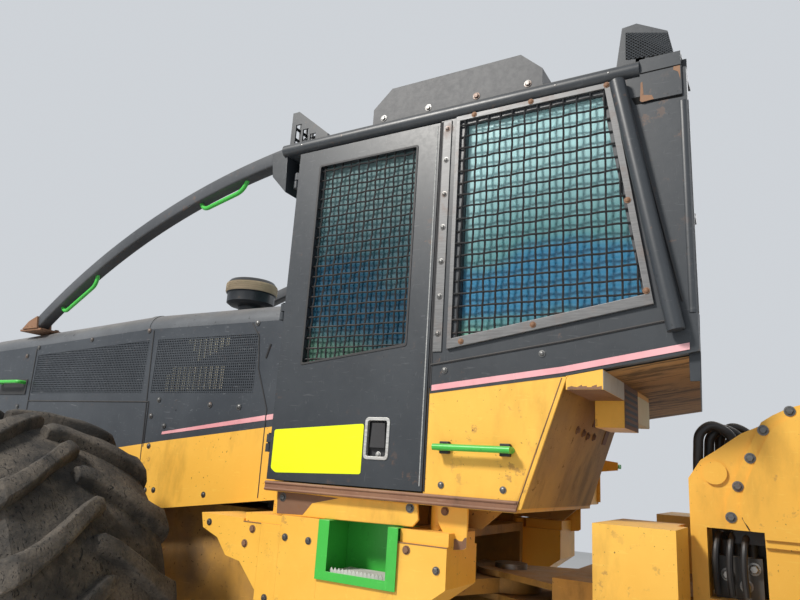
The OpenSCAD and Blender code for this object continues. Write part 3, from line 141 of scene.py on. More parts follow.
class NodeGraph:
    """Thin helper round a material's node tree."""

    def __init__(self, name: str) -> None:
        """Create a material with an empty Principled graph.

        Args:
            name: Name of the new material.
        """
        self.material = bpy.data.materials.new(name)
        self.material.use_nodes = True
        self.tree = self.material.node_tree
        self.bsdf = self.tree.nodes["Principled BSDF"]
        self.coord = self.tree.nodes.new("ShaderNodeTexCoord")
        self.geometry = self.tree.nodes.new("ShaderNodeNewGeometry")

    def node(self, kind: str, **values: object) -> bpy.types.Node:
        """Add a node and set its properties.

        Args:
            kind: Blender's node type, without the ShaderNode prefix.
            **values: Properties of the node.

        Returns:
            The new node.
        """
        made = self.tree.nodes.new("ShaderNode" + kind)
        for key, value in values.items():
            setattr(made, key, value)
        return made

    def link(self, source: object, target: object) -> None:
        """Join two sockets.

        Args:
            source: Output socket.
            target: Input socket.
        """
        self.tree.links.new(source, target)

    def feed(self, socket: object, value: object) -> None:
        """Put a number, colour or socket into an input.

        Args:
            socket: Input socket.
            value: Output socket to join, or a plain value.
        """
        if isinstance(value, bpy.types.NodeSocket):
            self.link(value, socket)
        elif isinstance(value, tuple) and len(value) == 3 and len(getattr(socket, "default_value", ())) == 4:
            socket.default_value = (*value, 1.0)
        else:
            socket.default_value = value

    def scaled(self, scale: Point = (1.0, 1.0, 1.0)) -> object:
        """Object coordinates times a scale.

        Args:
            scale: Factor along each axis.

        Returns:
            Vector output socket.
        """
        mapping = self.node("Mapping")
        mapping.inputs["Scale"].default_value = scale
        self.link(self.coord.outputs["Object"], mapping.inputs["Vector"])
        return mapping.outputs["Vector"]

    def noise(self, scale: float, detail: float = 4.0, rough: float = 0.55, stretch: Point = (1.0, 1.0, 1.0),
              warp: float = 0.0) -> object:
        """Fractal noise in object space.

        Args:
            scale: Cells per metre.
            detail: Octaves.
            rough: Weight of fine octaves.
            stretch: Factor along each axis.
            warp: Distortion.

        Returns:
            Factor output socket.
        """
        made = self.node("TexNoise")
        made.inputs["Scale"].default_value = scale
        made.inputs["Detail"].default_value = detail
        made.inputs["Roughness"].default_value = rough
        made.inputs["Distortion"].default_value = warp
        self.link(self.scaled(stretch), made.inputs["Vector"])
        return made.outputs["Fac"]

    def voronoi(self, scale: float) -> object:
        """Cell pattern in object space.

        Args:
            scale: Cells per metre.

        Returns:
            Distance output socket.
        """
        made = self.node("TexVoronoi", feature="F1")
        made.inputs["Scale"].default_value = scale
        self.link(self.scaled(), made.inputs["Vector"])
        return made.outputs["Distance"]

    def band(self, value: object, low: float, high: float, out_low: float = 0.0, out_high: float = 1.0) -> object:
        """Map a value smoothly from one range to another.

        Args:
            value: Input socket.
            low: Where the output is out_low.
            high: Where the output is out_high.
            out_low: Output at low.
            out_high: Output at high.

        Returns:
            Output socket.
        """
        made = self.node("MapRange", interpolation_type="SMOOTHSTEP")
        self.link(value, made.inputs["Value"])
        made.inputs["From Min"].default_value = low
        made.inputs["From Max"].default_value = high
        made.inputs["To Min"].default_value = out_low
        made.inputs["To Max"].default_value = out_high
        return made.outputs["Result"]

    def math(self, operation: str, first: object, second: object = 0.0) -> object:
        """Arithmetic on two values.

        Args:
            operation: Math node operation.
            first: First value or socket.
            second: Second value or socket.

        Returns:
            Output socket.
        """
        made = self.node("Math", operation=operation)
        self.feed(made.inputs[0], first)
        self.feed(made.inputs[1], second)
        return made.outputs[0]

    def mix(self, factor: object, first: object, second: object) -> object:
        """Blend two colours.

        Args:
            factor: Socket or number, 0 gives the first colour.
            first: Colour or socket.
            second: Colour or socket.

        Returns:
            Colour output socket.
        """
        made = self.node("Mix", data_type="RGBA")
        self.feed(made.inputs["Factor"], factor)
        self.feed(made.inputs[6], first)
        self.feed(made.inputs[7], second)
        return made.outputs[2]

    def upward(self, low: float = 0.3, high: float = 0.95) -> object:
        """How far a face looks up, for dust that settles.

        Args:
            low: Normal Z where dust starts.
            high: Normal Z where it is full.

        Returns:
            Output socket from 0 to 1.
        """
        split = self.node("SeparateXYZ")
        self.link(self.geometry.outputs["Normal"], split.inputs[0])
        return self.band(split.outputs["Z"], low, high)

    def position(self, axis: str) -> object:
        """One object coordinate.

        Args:
            axis: X, Y or Z.

        Returns:
            Output socket in metres.
        """
        split = self.node("SeparateXYZ")
        self.link(self.coord.outputs["Object"], split.inputs[0])
        return split.outputs[axis]

    def bump(self, height: object, strength: float, distance: float) -> None:
        """Drive the shader's normal from a height.

        Args:
            height: Height socket.
            strength: Bump strength.
            distance: Height of one unit in metres.
        """
        made = self.node("Bump")
        made.inputs["Strength"].default_value = strength
        made.inputs["Distance"].default_value = distance
        self.link(height, made.inputs["Height"])
        self.link(made.outputs["Normal"], self.bsdf.inputs["Normal"])

    def finish(self, colour: object, roughness: object, metallic: float = 0.0) -> bpy.types.Material:
        """Wire the main inputs of the shader.

        Args:
            colour: Colour or socket.
            roughness: Number or socket.
            metallic: Metal share.

        Returns:
            The finished material.
        """
        self.feed(self.bsdf.inputs["Base Color"], colour)
        self.feed(self.bsdf.inputs["Roughness"], roughness)
        self.bsdf.inputs["Metallic"].default_value = metallic
        return self.material


@dataclass(frozen=True)
class PaintFinish:
    """Machine paint with chips, scratches, grime and settled dust.

    Args:
        name: Material name.
        colour: Paint colour.
        shade: Second colour that the paint drifts to.
        roughness: Gloss of the clean paint.
        chips: Share of chipped spots, 0 to 1.
        scratches: Strength of the fine scratches.
        dust: Strength of dust on faces that look up.
        grime: Strength of dark stains.
        under: Colour under a chip.
        streak: Strength of dark streaks along the machine.
    """

    name: str
    colour: Colour
    shade: Colour
    roughness: float
    chips: float
    scratches: float
    dust: float
    grime: float
    under: Colour = (0.22, 0.105, 0.05)
    streak: float = 0.0

    def build(self) -> bpy.types.Material:
        """Make the material.

        Returns:
            A node material.
        """
        g = NodeGraph(self.name)
        base = g.mix(g.band(g.noise(1.7, 5, 0.6), 0.35, 0.7), self.colour, self.shade)
        fine = g.noise(46, 3, 0.6)
        stain = g.band(g.noise(4.5, 6, 0.65, (1.0, 1.0, 0.35)), 0.52, 0.72, 0.0, self.grime)
        base = g.mix(stain, base, tuple(0.35 * c for c in self.colour))
        if self.streak:
            dark = g.band(g.noise(5.5, 5, 0.7, (0.35, 2.4, 2.4), 0.4), 0.46, 0.58, 0.0, self.streak)
            base = g.mix(dark, base, tuple(0.16 * c for c in self.colour))
        line = g.band(g.noise(30, 2, 0.5, (0.5, 6.0, 4.0), 0.8), 0.66, 0.71, 0.0, self.scratches)
        cross = g.band(g.noise(24, 2, 0.5, (5.0, 0.6, 1.2), 1.2), 0.67, 0.72, 0.0, self.scratches * 0.8)
        mark = g.math("MAXIMUM", line, cross)
        base = g.mix(mark, base, tuple(min(1.0, c * 1.6 + 0.09) for c in self.colour))
        rub = g.math("MULTIPLY", g.band(g.noise(17, 6, 0.7), 0.6, 0.66), g.band(g.noise(2.6, 3), 0.44, 0.62))
        speck = g.math("MULTIPLY", g.band(g.noise(75, 2, 0.5), 0.68, 0.71), g.band(g.noise(3.3, 2), 0.46, 0.58))
        base = g.mix(g.math("MULTIPLY", speck, min(1.0, self.chips * 1.6)), base, tuple(0.12 * c for c in self.colour))
        chip = g.math("MULTIPLY", rub, self.chips)
        base = g.mix(chip, base, self.under)
        settled = g.math("MULTIPLY", g.upward(), g.band(g.noise(7, 5, 0.7), 0.3, 0.75, 0.25, 1.0))
        settled = g.math("MULTIPLY", settled, self.dust)
        base = g.mix(settled, base, (0.508, 0.416, 0.308))
        rough = g.math("ADD", g.band(fine, 0.3, 0.8, self.roughness - 0.02, self.roughness + 0.04),
                       g.math("MULTIPLY", g.math("MAXIMUM", chip, settled), 0.4))
        height = g.math("SUBTRACT", g.noise(120, 2), g.math("MULTIPLY", chip, 3.0))
        g.bump(height, 0.1, 0.0008)
        return g.finish(base, rough)


@dataclass(frozen=True)
class RubberFinish:
    """Worn tyre rubber: dusty tread, darker grooves, small cuts.

    Args:
        name: Material name.
        colour: Clean rubber.
        dusty: Dusty rubber.
    """

    name: str
    colour: Colour = (0.02, 0.019, 0.018)
    dusty: Colour = (0.135, 0.114, 0.092)

    def build(self) -> bpy.types.Material:
        """Make the material.

        Returns:
            A node material.
        """
        g = NodeGraph(self.name)
        patch = g.band(g.noise(5.5, 6, 0.65), 0.34, 0.66)
        grain = g.noise(95, 4, 0.7)
        cuts = g.band(g.noise(30, 4, 0.65, (1.0, 2.2, 1.0), 1.8), 0.585, 0.64)
        pits = g.band(g.voronoi(60), 0.03, 0.16)
        base = g.mix(g.math("MULTIPLY", patch, g.band(grain, 0.25, 0.7, 0.35, 1.0)), self.colour, self.dusty)
        base = g.mix(g.math("MULTIPLY", cuts, 0.95), base, (0.004, 0.004, 0.004))
        base = g.mix(g.band(pits, 0.0, 1.0, 0.5, 0.0), base, (0.012, 0.011, 0.01))
        height = g.math("ADD", g.math("MULTIPLY", grain, 0.5), g.math("MULTIPLY", pits, 0.35))
        height = g.math("SUBTRACT", height, g.math("MULTIPLY", cuts, 1.1))
        g.bump(height, 0.8, 0.009)
        return g.finish(base, g.band(grain, 0.2, 0.8, 0.74, 0.95))


@dataclass(frozen=True)
class MetalFinish:
    """Worn bare metal with rust blooms and fine brush marks.

    Args:
        name: Material name.
        colour: Metal colour.
        rust: Share of rust, 0 to 1.
        roughness: Gloss.
        metallic: Metal share of the shader.
    """

    name: str
    colour: Colour
    rust: float = 0.3
    roughness: float = 0.4
    metallic: float = 0.85

    def build(self) -> bpy.types.Material:
        """Make the material.

        Returns:
            A node material.
        """
        g = NodeGraph(self.name)
        grain = g.noise(38, 3, 0.6, (0.4, 3.0, 5.0))
        base = g.mix(g.band(grain, 0.3, 0.75), tuple(c * 0.72 for c in self.colour), self.colour)
        bloom = g.math("MULTIPLY", g.band(g.noise(8.5, 6, 0.7), 0.5, 0.68), self.rust)
        base = g.mix(bloom, base, (0.23, 0.098, 0.042))
        g.bump(g.math("ADD", grain, g.math("MULTIPLY", g.noise(140, 3), 0.6)), 0.22, 0.001)
        rough = g.math("ADD", g.band(grain, 0.2, 0.8, self.roughness - 0.06, self.roughness + 0.08),
                       g.math("MULTIPLY", bloom, 0.45))
        return g.finish(base, rough, self.metallic)


@dataclass(frozen=True)
class GlassFinish:
    """Tinted safety glass with a film of dust and a painted reflection.

    Args:
        name: Material name.
        tint: Colour of the glass.
        clear: Transmission weight.
        mirrored: Brightness of the painted reflection (sky glare above, blue band, pale ground below), painted into the
            colour by height; 0 leaves them out.
    """

    name: str
    tint: Colour
    clear: float = 0.8
    mirrored: float = 0.0

    def build(self) -> bpy.types.Material:
        """Make the material.

        Returns:
            A node material.
        """
        g = NodeGraph(self.name)
        film = g.band(g.noise(6, 6, 0.7), 0.4, 0.8, 0.0, 0.35)
        smear = g.band(g.noise(4, 2, 0.5), 0.3, 0.8, 0.04, 0.12)
        base = g.mix(film, self.tint, tuple(min(1.0, c + 0.08) for c in self.tint))
        # Painted reflection: sky glare, a blue band and the ground, painted into the colour by height.
        if self.mirrored:
            drift = g.math("MULTIPLY", g.math("SUBTRACT", g.noise(1.5, 2), 0.5), 0.5)
            height = g.math("ADD", g.position("Z"), drift)
            sky, water, ground = (tuple(self.mirrored * c for c in colour) for colour in
                                  ((0.554, 0.878, 0.909), (0.077, 0.293, 0.493), (0.308, 0.647, 0.493)))
            base = g.mix(g.band(height, 2.48, 2.92), base, sky)
            blue = g.math("MULTIPLY", g.band(height, 2.24, 2.3), g.band(height, 2.46, 2.54, 1.0, 0.0))
            base = g.mix(blue, base, water)
            base = g.mix(g.band(height, 2.16, 2.24, 1.0, 0.0), base, ground)
        g.bsdf.inputs["Transmission Weight"].default_value = self.clear
        g.bsdf.inputs["IOR"].default_value = 1.45
        g.bump(g.noise(1.2, 1), 0.02, 0.002)
        return g.finish(base, g.math("ADD", smear, g.math("MULTIPLY", film, 0.2)))


@dataclass(frozen=True)
class FabricFinish:
    """Woven seat cover.

    Args:
        name: Material name.
        colour: Yarn colour.
    """

    name: str
    colour: Colour

    def build(self) -> bpy.types.Material:
        """Make the material.

        Returns:
            A node material.
        """
        g = NodeGraph(self.name)
        warp = g.node("TexWave", wave_type="BANDS", bands_direction="Y")
        weft = g.node("TexWave", wave_type="BANDS", bands_direction="Z")
        for wave in (warp, weft):
            wave.inputs["Scale"].default_value = 110
            wave.inputs["Distortion"].default_value = 0.6
            g.link(g.coord.outputs["Object"], wave.inputs["Vector"])
        cloth = g.math("MAXIMUM", warp.outputs["Fac"], weft.outputs["Fac"])
        base = g.mix(cloth, tuple(c * 0.4 for c in self.colour), self.colour)
        base = g.mix(g.band(g.noise(5, 4), 0.5, 0.75, 0.0, 0.35), base, (0.14, 0.12, 0.1))
        g.bump(cloth, 0.5, 0.0015)
        g.bsdf.inputs["Sheen Weight"].default_value = 0.25
        return g.finish(base, 0.86)


class Palette:
    """All the finishes of the machine, built once."""

    def __init__(self) -> None:
        """Build every material."""
        # After the two colours: roughness, chips, scratches, dust, grime
        self.black = PaintFinish("satin_black", (0.0231, 0.0277, 0.0339), (0.037, 0.0431, 0.0508),
                                 0.4, 0.3, 0.26, 0.18, 0.22).build()
        self.black_hood = PaintFinish("hood_black", (0.0323, 0.0385, 0.0477), (0.0524, 0.0601, 0.0708),
                                      0.36, 0.12, 0.5, 0.32, 0.2).build()
        self.hood_top = PaintFinish("hood_top_grey", (0.0708, 0.0785, 0.0893), (0.123, 0.132, 0.145),
                                    0.42, 0.8, 0.2, 0.22, 0.3, under=(0.0185, 0.02, 0.0231)).build()
        self.roof_black = PaintFinish("roof_black", (0.0431, 0.0477, 0.0554), (0.077, 0.0832, 0.0924),
                                      0.46, 0.35, 0.3, 0.55, 0.25).build()
        self.roof_grey = PaintFinish("roof_box_grey", (0.0708, 0.0739, 0.0801), (0.0832, 0.0862, 0.0924),
                                     0.6, 0.02, 0.05, 0.03, 0.1).build()
        # Chassis paint: real grime and dust, made darker as well as painted shade under the machine.
        self.grime_and_shade = PaintFinish("grimy_yellow", (0.524, 0.277, 0.0524), (0.185, 0.115, 0.0539),
                                 0.66, 0.9, 0.1, 0.8, 0.85).build()
        self.plank = PaintFinish("stained_underside", (0.4, 0.223, 0.0847), (0.462, 0.277, 0.115),
                                 0.75, 1.0, 0.1, 0.0, 0.9, under=(0.0308, 0.0185, 0.0123), streak=0.8).build()
        self.slant = PaintFinish("stained_yellow", (0.554, 0.331, 0.0924), (0.339, 0.2, 0.077),
                                 0.62, 0.8, 0.1, 0.0, 0.7, under=(0.154, 0.077, 0.0308)).build()
        self.oily = PaintFinish("oily_grey", (0.0339, 0.0339, 0.0354), (0.077, 0.0708, 0.0616),
                                0.5, 0.2, 0.1, 0.4, 0.5).build()
        # Flat near-black for painted shade in openings and gaps.
        self.shadow = PaintFinish("deep_hollow", (0.0015, 0.0015, 0.0015), (0.003, 0.003, 0.003),
                                  1.0, 0.0, 0.0, 0.0, 0.0).build()
        # Ledge brown: rust, and painted shadow along its lower part.
        self.ledge = PaintFinish("worn_ledge", (0.2, 0.0924, 0.0554), (0.308, 0.162, 0.0847),
                                 0.65, 1.0, 0.3, 0.3, 0.8, under=(0.154, 0.0616, 0.0308)).build()
        self.tan = PaintFinish("cleaner_tan", (0.647, 0.508, 0.339), (0.462, 0.354, 0.231),
                               0.75, 0.0, 0.1, 0.3, 0.4).build()
        self.sealant = PaintFinish("pale_sealant", (0.647, 0.647, 0.616), (0.462, 0.462, 0.431),
                                   0.8, 0.0, 0.0, 0.2, 0.5).build()
        self.hose = PaintFinish("hose_black", (0.0154, 0.0154, 0.0169), (0.0339, 0.0323, 0.0308),
                                0.5, 0.0, 0.1, 0.4, 0.2).build()
        self.yellow = PaintFinish("machine_yellow", (0.847, 0.454, 0.0616), (0.92, 0.524, 0.0847),
                                  0.44, 0.5, 0.12, 0.25, 0.34).build()
        self.grey = PaintFinish("machine_grey", (0.246, 0.254, 0.262), (0.339, 0.339, 0.339),
                                0.55, 0.3, 0.1, 0.5, 0.4).build()
        self.green = PaintFinish("safety_green", (0.0462, 0.447, 0.0539), (0.0647, 0.524, 0.0739),
                                 0.38, 0.3, 0.2, 0.2, 0.2, under=(0.0308, 0.077, 0.0308)).build()
        self.brown = PaintFinish("rusty_underside", (0.177, 0.0893, 0.0493), (0.262, 0.142, 0.0801),
                                 0.7, 0.7, 0.1, 0.3, 0.6).build()
        self.rubber = RubberFinish("tyre_rubber").build()
        self.gasket = PaintFinish("gasket_black", (0.0185, 0.0185, 0.02), (0.0308, 0.0308, 0.0339),
                                  0.62, 0.0, 0.05, 0.25, 0.1).build()
        self.steel = MetalFinish("worn_steel", (0.34, 0.335, 0.32), rust=0.6, roughness=0.42).build()
        self.chrome = MetalFinish("cylinder_chrome", (0.72, 0.72, 0.73), rust=0.05, roughness=0.16,
                                  metallic=1.0).build()
        self.aluminium = MetalFinish("window_aluminium", (0.62, 0.62, 0.6), rust=0.1, roughness=0.45,
                                     metallic=0.7).build()
        self.wire = MetalFinish("woven_wire", (0.015, 0.016, 0.018), rust=0.05, roughness=0.5, metallic=0.3).build()
        self.frame = MetalFinish("guard_frame", (0.17, 0.172, 0.176), rust=0.14, roughness=0.5, metallic=0.55).build()
        self.bolt = MetalFinish("bolt_steel", (0.18, 0.18, 0.178), rust=0.35, roughness=0.4).build()
        self.glass = GlassFinish("teal_glass", (0.154, 0.385, 0.416), clear=0.35, mirrored=1.0).build()
        self.door_glass = GlassFinish("dark_teal_glass", (0.0693, 0.169, 0.208), clear=0.45, mirrored=0.42).build()
        self.lamp = GlassFinish("lamp_lens", (0.92, 0.94, 0.95), clear=0.6).build()
        self.fabric = FabricFinish("seat_weave", (0.0924, 0.0924, 0.1)).build()
        self.pink = PaintFinish("faded_red_stripe", (0.708, 0.293, 0.323), (0.847, 0.462, 0.493),
                                0.5, 0.1, 0.2, 0.1, 0.2).build()
        self.sticker = PaintFinish("blank_sticker", (0.77, 0.893, 0.0062), (0.832, 0.92, 0.0092),
                                   0.35, 0.0, 0.1, 0.1, 0.12).build()
        self.cream = PaintFinish("filter_cream", (0.847, 0.724, 0.508), (0.92, 0.893, 0.647),
                                 0.8, 0.0, 0.0, 0.2, 0.4).build()


# Mesh helpers


class Piece:
    """Collects geometry for one named piece, then makes its object."""

    def __init__(self, name: str) -> None:
        """Start an empty piece.

        Args:
            name: Object name.
        """
        self.name = name
        self.bm = bmesh.new()

    def loft(self, rings: Sequence[Sequence[Vector]], closed: bool = False) -> None:
        """Skin a row of equal rings.

        Args:
            rings: Rings of points, each with the same count.
            closed: Join the last ring to the first, else fill both ends.
        """
        rows = [[self.bm.verts.new(p) for p in ring] for ring in rings]
        count = len(rows[0])
        last = len(rows) if closed else len(rows) - 1
        for i in range(last):
            a, b = rows[i], rows[(i + 1) % len(rows)]
            for j in range(count):
                k = (j + 1) % count
                self.bm.faces.new((a[j], a[k], b[k], b[j]))
        if not closed:
            self.bm.faces.new(list(reversed(rows[0])))
            self.bm.faces.new(rows[-1])

    def box(self, low: Point, high: Point, matrix: Matrix | None = None) -> None:
        """Add a box.

        Args:
            low: Lowest corner.
            high: Highest corner.
            matrix: Optional transform.
        """
        xs, ys, zs = zip(low, high)
        around = ((xs[0], ys[0]), (xs[1], ys[0]), (xs[1], ys[1]), (xs[0], ys[1]))
        corners = [Vector((x, y, z)) for z in zs for x, y in around]
        if matrix:
            corners = [matrix @ c for c in corners]
        self.loft([corners[:4], corners[4:]])

    def prism(self, outline: Sequence[Pair], place: Callable[[float, float, float], Point],
              depth: Pair) -> None:
        """Extrude a flat outline.

        Args:
            outline: Outline as pairs.
            place: Maps outline pair and depth to a point.
            depth: Start and end depth.
        """
        self.loft([[Vector(place(u, v, d)) for u, v in outline] for d in depth])

    def tube(self, path: Sequence[Vector], radius: float, sides: int = 12) -> None:
        """Add a round tube along a path.

        Args:
            path: Points of the centre line.
            radius: Radius of the tube.
            sides: Corners of the section.
        """
        rings = []
        up: Vector | None = None
        for i, point in enumerate(path):
            ahead = path[min(i + 1, len(path) - 1)] - path[max(i - 1, 0)]
            ahead = ahead.normalized() if ahead.length > 0 else Vector((0, 0, 1))
            if up is None:
                up = Vector((0, 0, 1)) if abs(ahead.z) < 0.9 else Vector((1, 0, 0))
            side = ahead.cross(up)
            side.normalize()
            up = side.cross(ahead)
            rings.append([point + side * math.cos(a) * radius + up * math.sin(a) * radius
                          for a in (2 * math.pi * k / sides for k in range(sides))])
        self.loft(rings)

    def lathe(self, profile: Sequence[Pair], matrix: Matrix, segments: int = 48,
              closed: bool = False) -> None:
        """Turn a profile about the local Z axis.

        Args:
            profile: Pairs of radius and height.
            matrix: Place of the axis.
            segments: Steps round the axis.
            closed: Join the profile's end to its start.
        """
        rows = []
        for r, h in profile:
            if r < 1e-6:
                rows.append([self.bm.verts.new(matrix @ Vector((0, 0, h)))])
            else:
                rows.append([self.bm.verts.new(matrix @ Vector((r * math.cos(a), r * math.sin(a), h)))
                             for a in (2 * math.pi * k / segments for k in range(segments))])
        pairs = list(zip(rows, rows[1:])) + ([(rows[-1], rows[0])] if closed else [])
        for a, b in pairs:
            for k in range(segments):
                n = (k + 1) % segments
                if len(a) == 1 and len(b) == 1:
                    break
                if len(a) == 1:
                    self.bm.faces.new((a[0], b[k], b[n]))
                elif len(b) == 1:
                    self.bm.faces.new((a[k], a[n], b[0]))
                else:
                    self.bm.faces.new((a[k], a[n], b[n], b[k]))

    def bolt(self, at: Point, normal: Point, radius: float = 0.012, height: float = 0.009,
             hexagon: bool = True) -> None:
        """Add a bolt head with its washer.

        Args:
            at: Centre of the seat.
            normal: Direction out of the surface.
            radius: Head radius.
            height: Head height.
            hexagon: Hexagonal head, else a round button head.
        """
        axis = Vector(normal).normalized()
        turn = axis.to_track_quat("Z", "Y").to_matrix().to_4x4()
        matrix = Matrix.Translation(Vector(at)) @ turn
        self.lathe([(0, 0), (radius * 1.45, 0), (radius * 1.45, height * 0.25), (radius * 1.05, height * 0.3)],
                   matrix, 14)
        if hexagon:
            self.lathe([(radius, height * 0.28), (radius, height * 0.85), (radius * 0.8, height), (0, height)],
                       matrix, 6)
        else:
            self.lathe([(radius, height * 0.28), (radius * 0.92, height * 0.65),
                        (radius * 0.5, height * 0.95), (0, height)],
                       matrix, 12)

    def make(self, material: bpy.types.Material, slot: Slot, body: Body | str = Body.FRONT, bevel: float = 0.0,
             smooth: bool = True) -> bpy.types.Object:
        """Finish the piece.

        Args:
            material: Its material.
            slot: Record slot of its finish; not used.
            body: Body that it rides on.
            bevel: Width of rounded edges in metres.
            smooth: Shade smooth with sharp edges kept.

        Returns:
            The new object.
        """
        bmesh.ops.recalc_face_normals(self.bm, faces=self.bm.faces)
        mesh = bpy.data.meshes.new(self.name)
        self.bm.to_mesh(mesh)
        self.bm.free()
        piece = bpy.data.objects.new(self.name, mesh)
        bpy.context.scene.collection.objects.link(piece)
        mesh.materials.append(material)
        if smooth:
            for polygon in mesh.polygons:
                polygon.use_smooth = True
            mesh.set_sharp_from_angle(angle=SHARP_ANGLE)
        if bevel:
            mod = piece.modifiers.new("round", "BEVEL")
            mod.width = bevel
            mod.segments = BEVEL_SEGMENTS
            mod.limit_method = "ANGLE"
            mod.angle_limit = BEVEL_ANGLE
            mod.harden_normals = False
        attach(piece, body.value if isinstance(body, Body) else body)
        return piece


def arc(points: Iterable[Point], steps: int = 8) -> list[Vector]:
    """Smooth path through corner points with rounded bends.

    Args:
        points: Corner points.
        steps: Points at each bend.

    Returns:
        Path points.
    """
    corners = [Vector(p) for p in points]
    path = [corners[0]]
    for before, here, after in zip(corners, corners[1:], corners[2:]):
        reach = 0.45 * min((before - here).length, (after - here).length)
        reach = min(reach, 0.06)
        start = here + (before - here).normalized() * reach
        end = here + (after - here).normalized() * reach
        for k in range(steps + 1):
            t = k / steps
            path.append(start * (1 - t) ** 2 + here * 2 * t * (1 - t) + end * t * t)
    path.append(corners[-1])
    return path


def spline(points: Iterable[Point], steps: int = 8) -> list[Vector]:
    """Catmull-Rom curve through points.

    Args:
        points: Points on the curve.
        steps: Points per stretch.

    Returns:
        Path points.
    """
    p = [Vector(q) for q in points]
    p = [2 * p[0] - p[1], *p, 2 * p[-1] - p[-2]]
    path = []
    for a, b, c, d in zip(p, p[1:], p[2:], p[3:]):
        for k in range(steps):
            t = k / steps
            path.append(0.5 * ((2 * b) + (c - a) * t + (2 * a - 5 * b + 4 * c - d) * t * t
                               + (3 * b - a - 3 * c + d) * t ** 3))
    path.append(p[-2])
    return path


# Camera, light and floor


@dataclass
class Studio:
    """Camera at the photograph's viewing angle, soft light and a pale floor.

    Args:
        place: Camera position in metres.
        right: Camera's X axis.
        up: Camera's Y axis.
        lens: Focal length on a 36 mm sensor.
        ambient: Strength of the sky's light on the object.
        backdrop: Strength of the sky where it is seen or mirrored.
        sky: Colour of the sky.
        aim: Point of the machine that the lamps face.
        lamps: Name, position, power, width and colour of each lamp.
        reach: Half the floor's width.
    """

    place: Point = (-1.6, 3.05, 1.67)
    right: Point = (-0.8647, -0.4984, 0.0615)
    up: Point = (-0.0707, 0.242, 0.9677)
    lens: float = 30.06
    ambient: float = 0.4
    backdrop: float = 0.72
    sky: Colour = (0.86, 0.9, 0.95)
    aim: Point = (0.0, 0.3, 1.8)
    lamps: tuple[tuple[str, Point, float, float, Colour], ...] = (
        ("key", (3.4, 7.6, 8.8), 1240, 1.6, (1.0, 0.96, 0.9)),
        ("fill", (-6.5, 6.0, 3.5), 52, 5.0, (0.9, 0.95, 1.0)),
        ("rim", (-3.0, -7.0, 6.5), 130, 4.0, (1.0, 1.0, 1.0)))
    reach: float = 14.0

    def build(self) -> None:
        """Make the camera, the world, the lamps and the floor."""
        bpy.context.scene.view_settings.view_transform = "Standard"
        self.camera()
        self.world()
        for lamp in self.lamps:
            self.light(*lamp)
        self.floor()

    def camera(self) -> None:
        """Set the camera at the photograph's place."""
        scene = bpy.context.scene
        data = bpy.data.cameras.new("camera")
        data.sensor_width = 36.0
        data.sensor_fit = "HORIZONTAL"
        data.lens = self.lens
        data.clip_end = 200
        camera = bpy.data.objects.new("camera", data)
        x, y = Vector(self.right).normalized(), Vector(self.up).normalized()
        z = x.cross(y).normalized()
        y = z.cross(x)
        rotation = Matrix((x, y, z)).transposed().to_4x4()
        camera.matrix_world = Matrix.Translation(Vector(self.place)) @ rotation
        scene.collection.objects.link(camera)
        scene.camera = camera

    def world(self) -> None:
        """Light the object evenly and show a paler sky behind it and in its mirrors."""
        world = bpy.data.worlds.new("studio")
        world.use_nodes = True
        nodes, links = world.node_tree.nodes, world.node_tree.links
        background = nodes["Background"]
        background.inputs["Color"].default_value = (*self.sky, 1)
        path = nodes.new("ShaderNodeLightPath")
        seen = path.outputs["Is Camera Ray"]
        for kind in ("Is Glossy Ray", "Is Transmission Ray"):
            joined = nodes.new("ShaderNodeMath")
            joined.operation = "MAXIMUM"
            links.new(seen, joined.inputs[0])
            links.new(path.outputs[kind], joined.inputs[1])
            seen = joined.outputs[0]
        level = nodes.new("ShaderNodeMapRange")
        level.inputs["To Min"].default_value = self.ambient
        level.inputs["To Max"].default_value = self.backdrop
        links.new(seen, level.inputs["Value"])
        links.new(level.outputs["Result"], background.inputs["Strength"])
        bpy.context.scene.world = world

    def floor(self) -> None:
        """Lay the plain pale floor."""
        slab = Piece("floor")
        slab.box((-self.reach, -self.reach, -0.05), (self.reach, self.reach, 0))
        mesh = bpy.data.meshes.new("floor")
        slab.bm.to_mesh(mesh)
        slab.bm.free()
        plane = bpy.data.objects.new("floor", mesh)
        g = NodeGraph("pale_floor")
        colour = g.mix(g.band(g.noise(0.7, 3), 0.3, 0.7), (0.78, 0.78, 0.77), (0.82, 0.82, 0.81))
        mesh.materials.append(g.finish(colour, 0.85))
        bpy.context.scene.collection.objects.link(plane)
        plane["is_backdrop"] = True

    def light(self, name: str, at: Point, power: float, size: float, colour: Colour) -> None:
        """Add one soft light aimed at the machine.

        Args:
            name: Object name.
            at: Position.
            power: Watts.
            size: Width in metres.
            colour: Light colour.
        """
        data = bpy.data.lights.new(name, "AREA")
        data.energy = power
        data.size = size
        data.color = colour
        lamp = bpy.data.objects.new(name, data)
        toward = Vector(self.aim) - Vector(at)
        turn = toward.to_track_quat("-Z", "Y").to_matrix().to_4x4()
        lamp.matrix_world = Matrix.Translation(Vector(at)) @ turn
        bpy.context.scene.collection.objects.link(lamp)


# Sub-assemblies


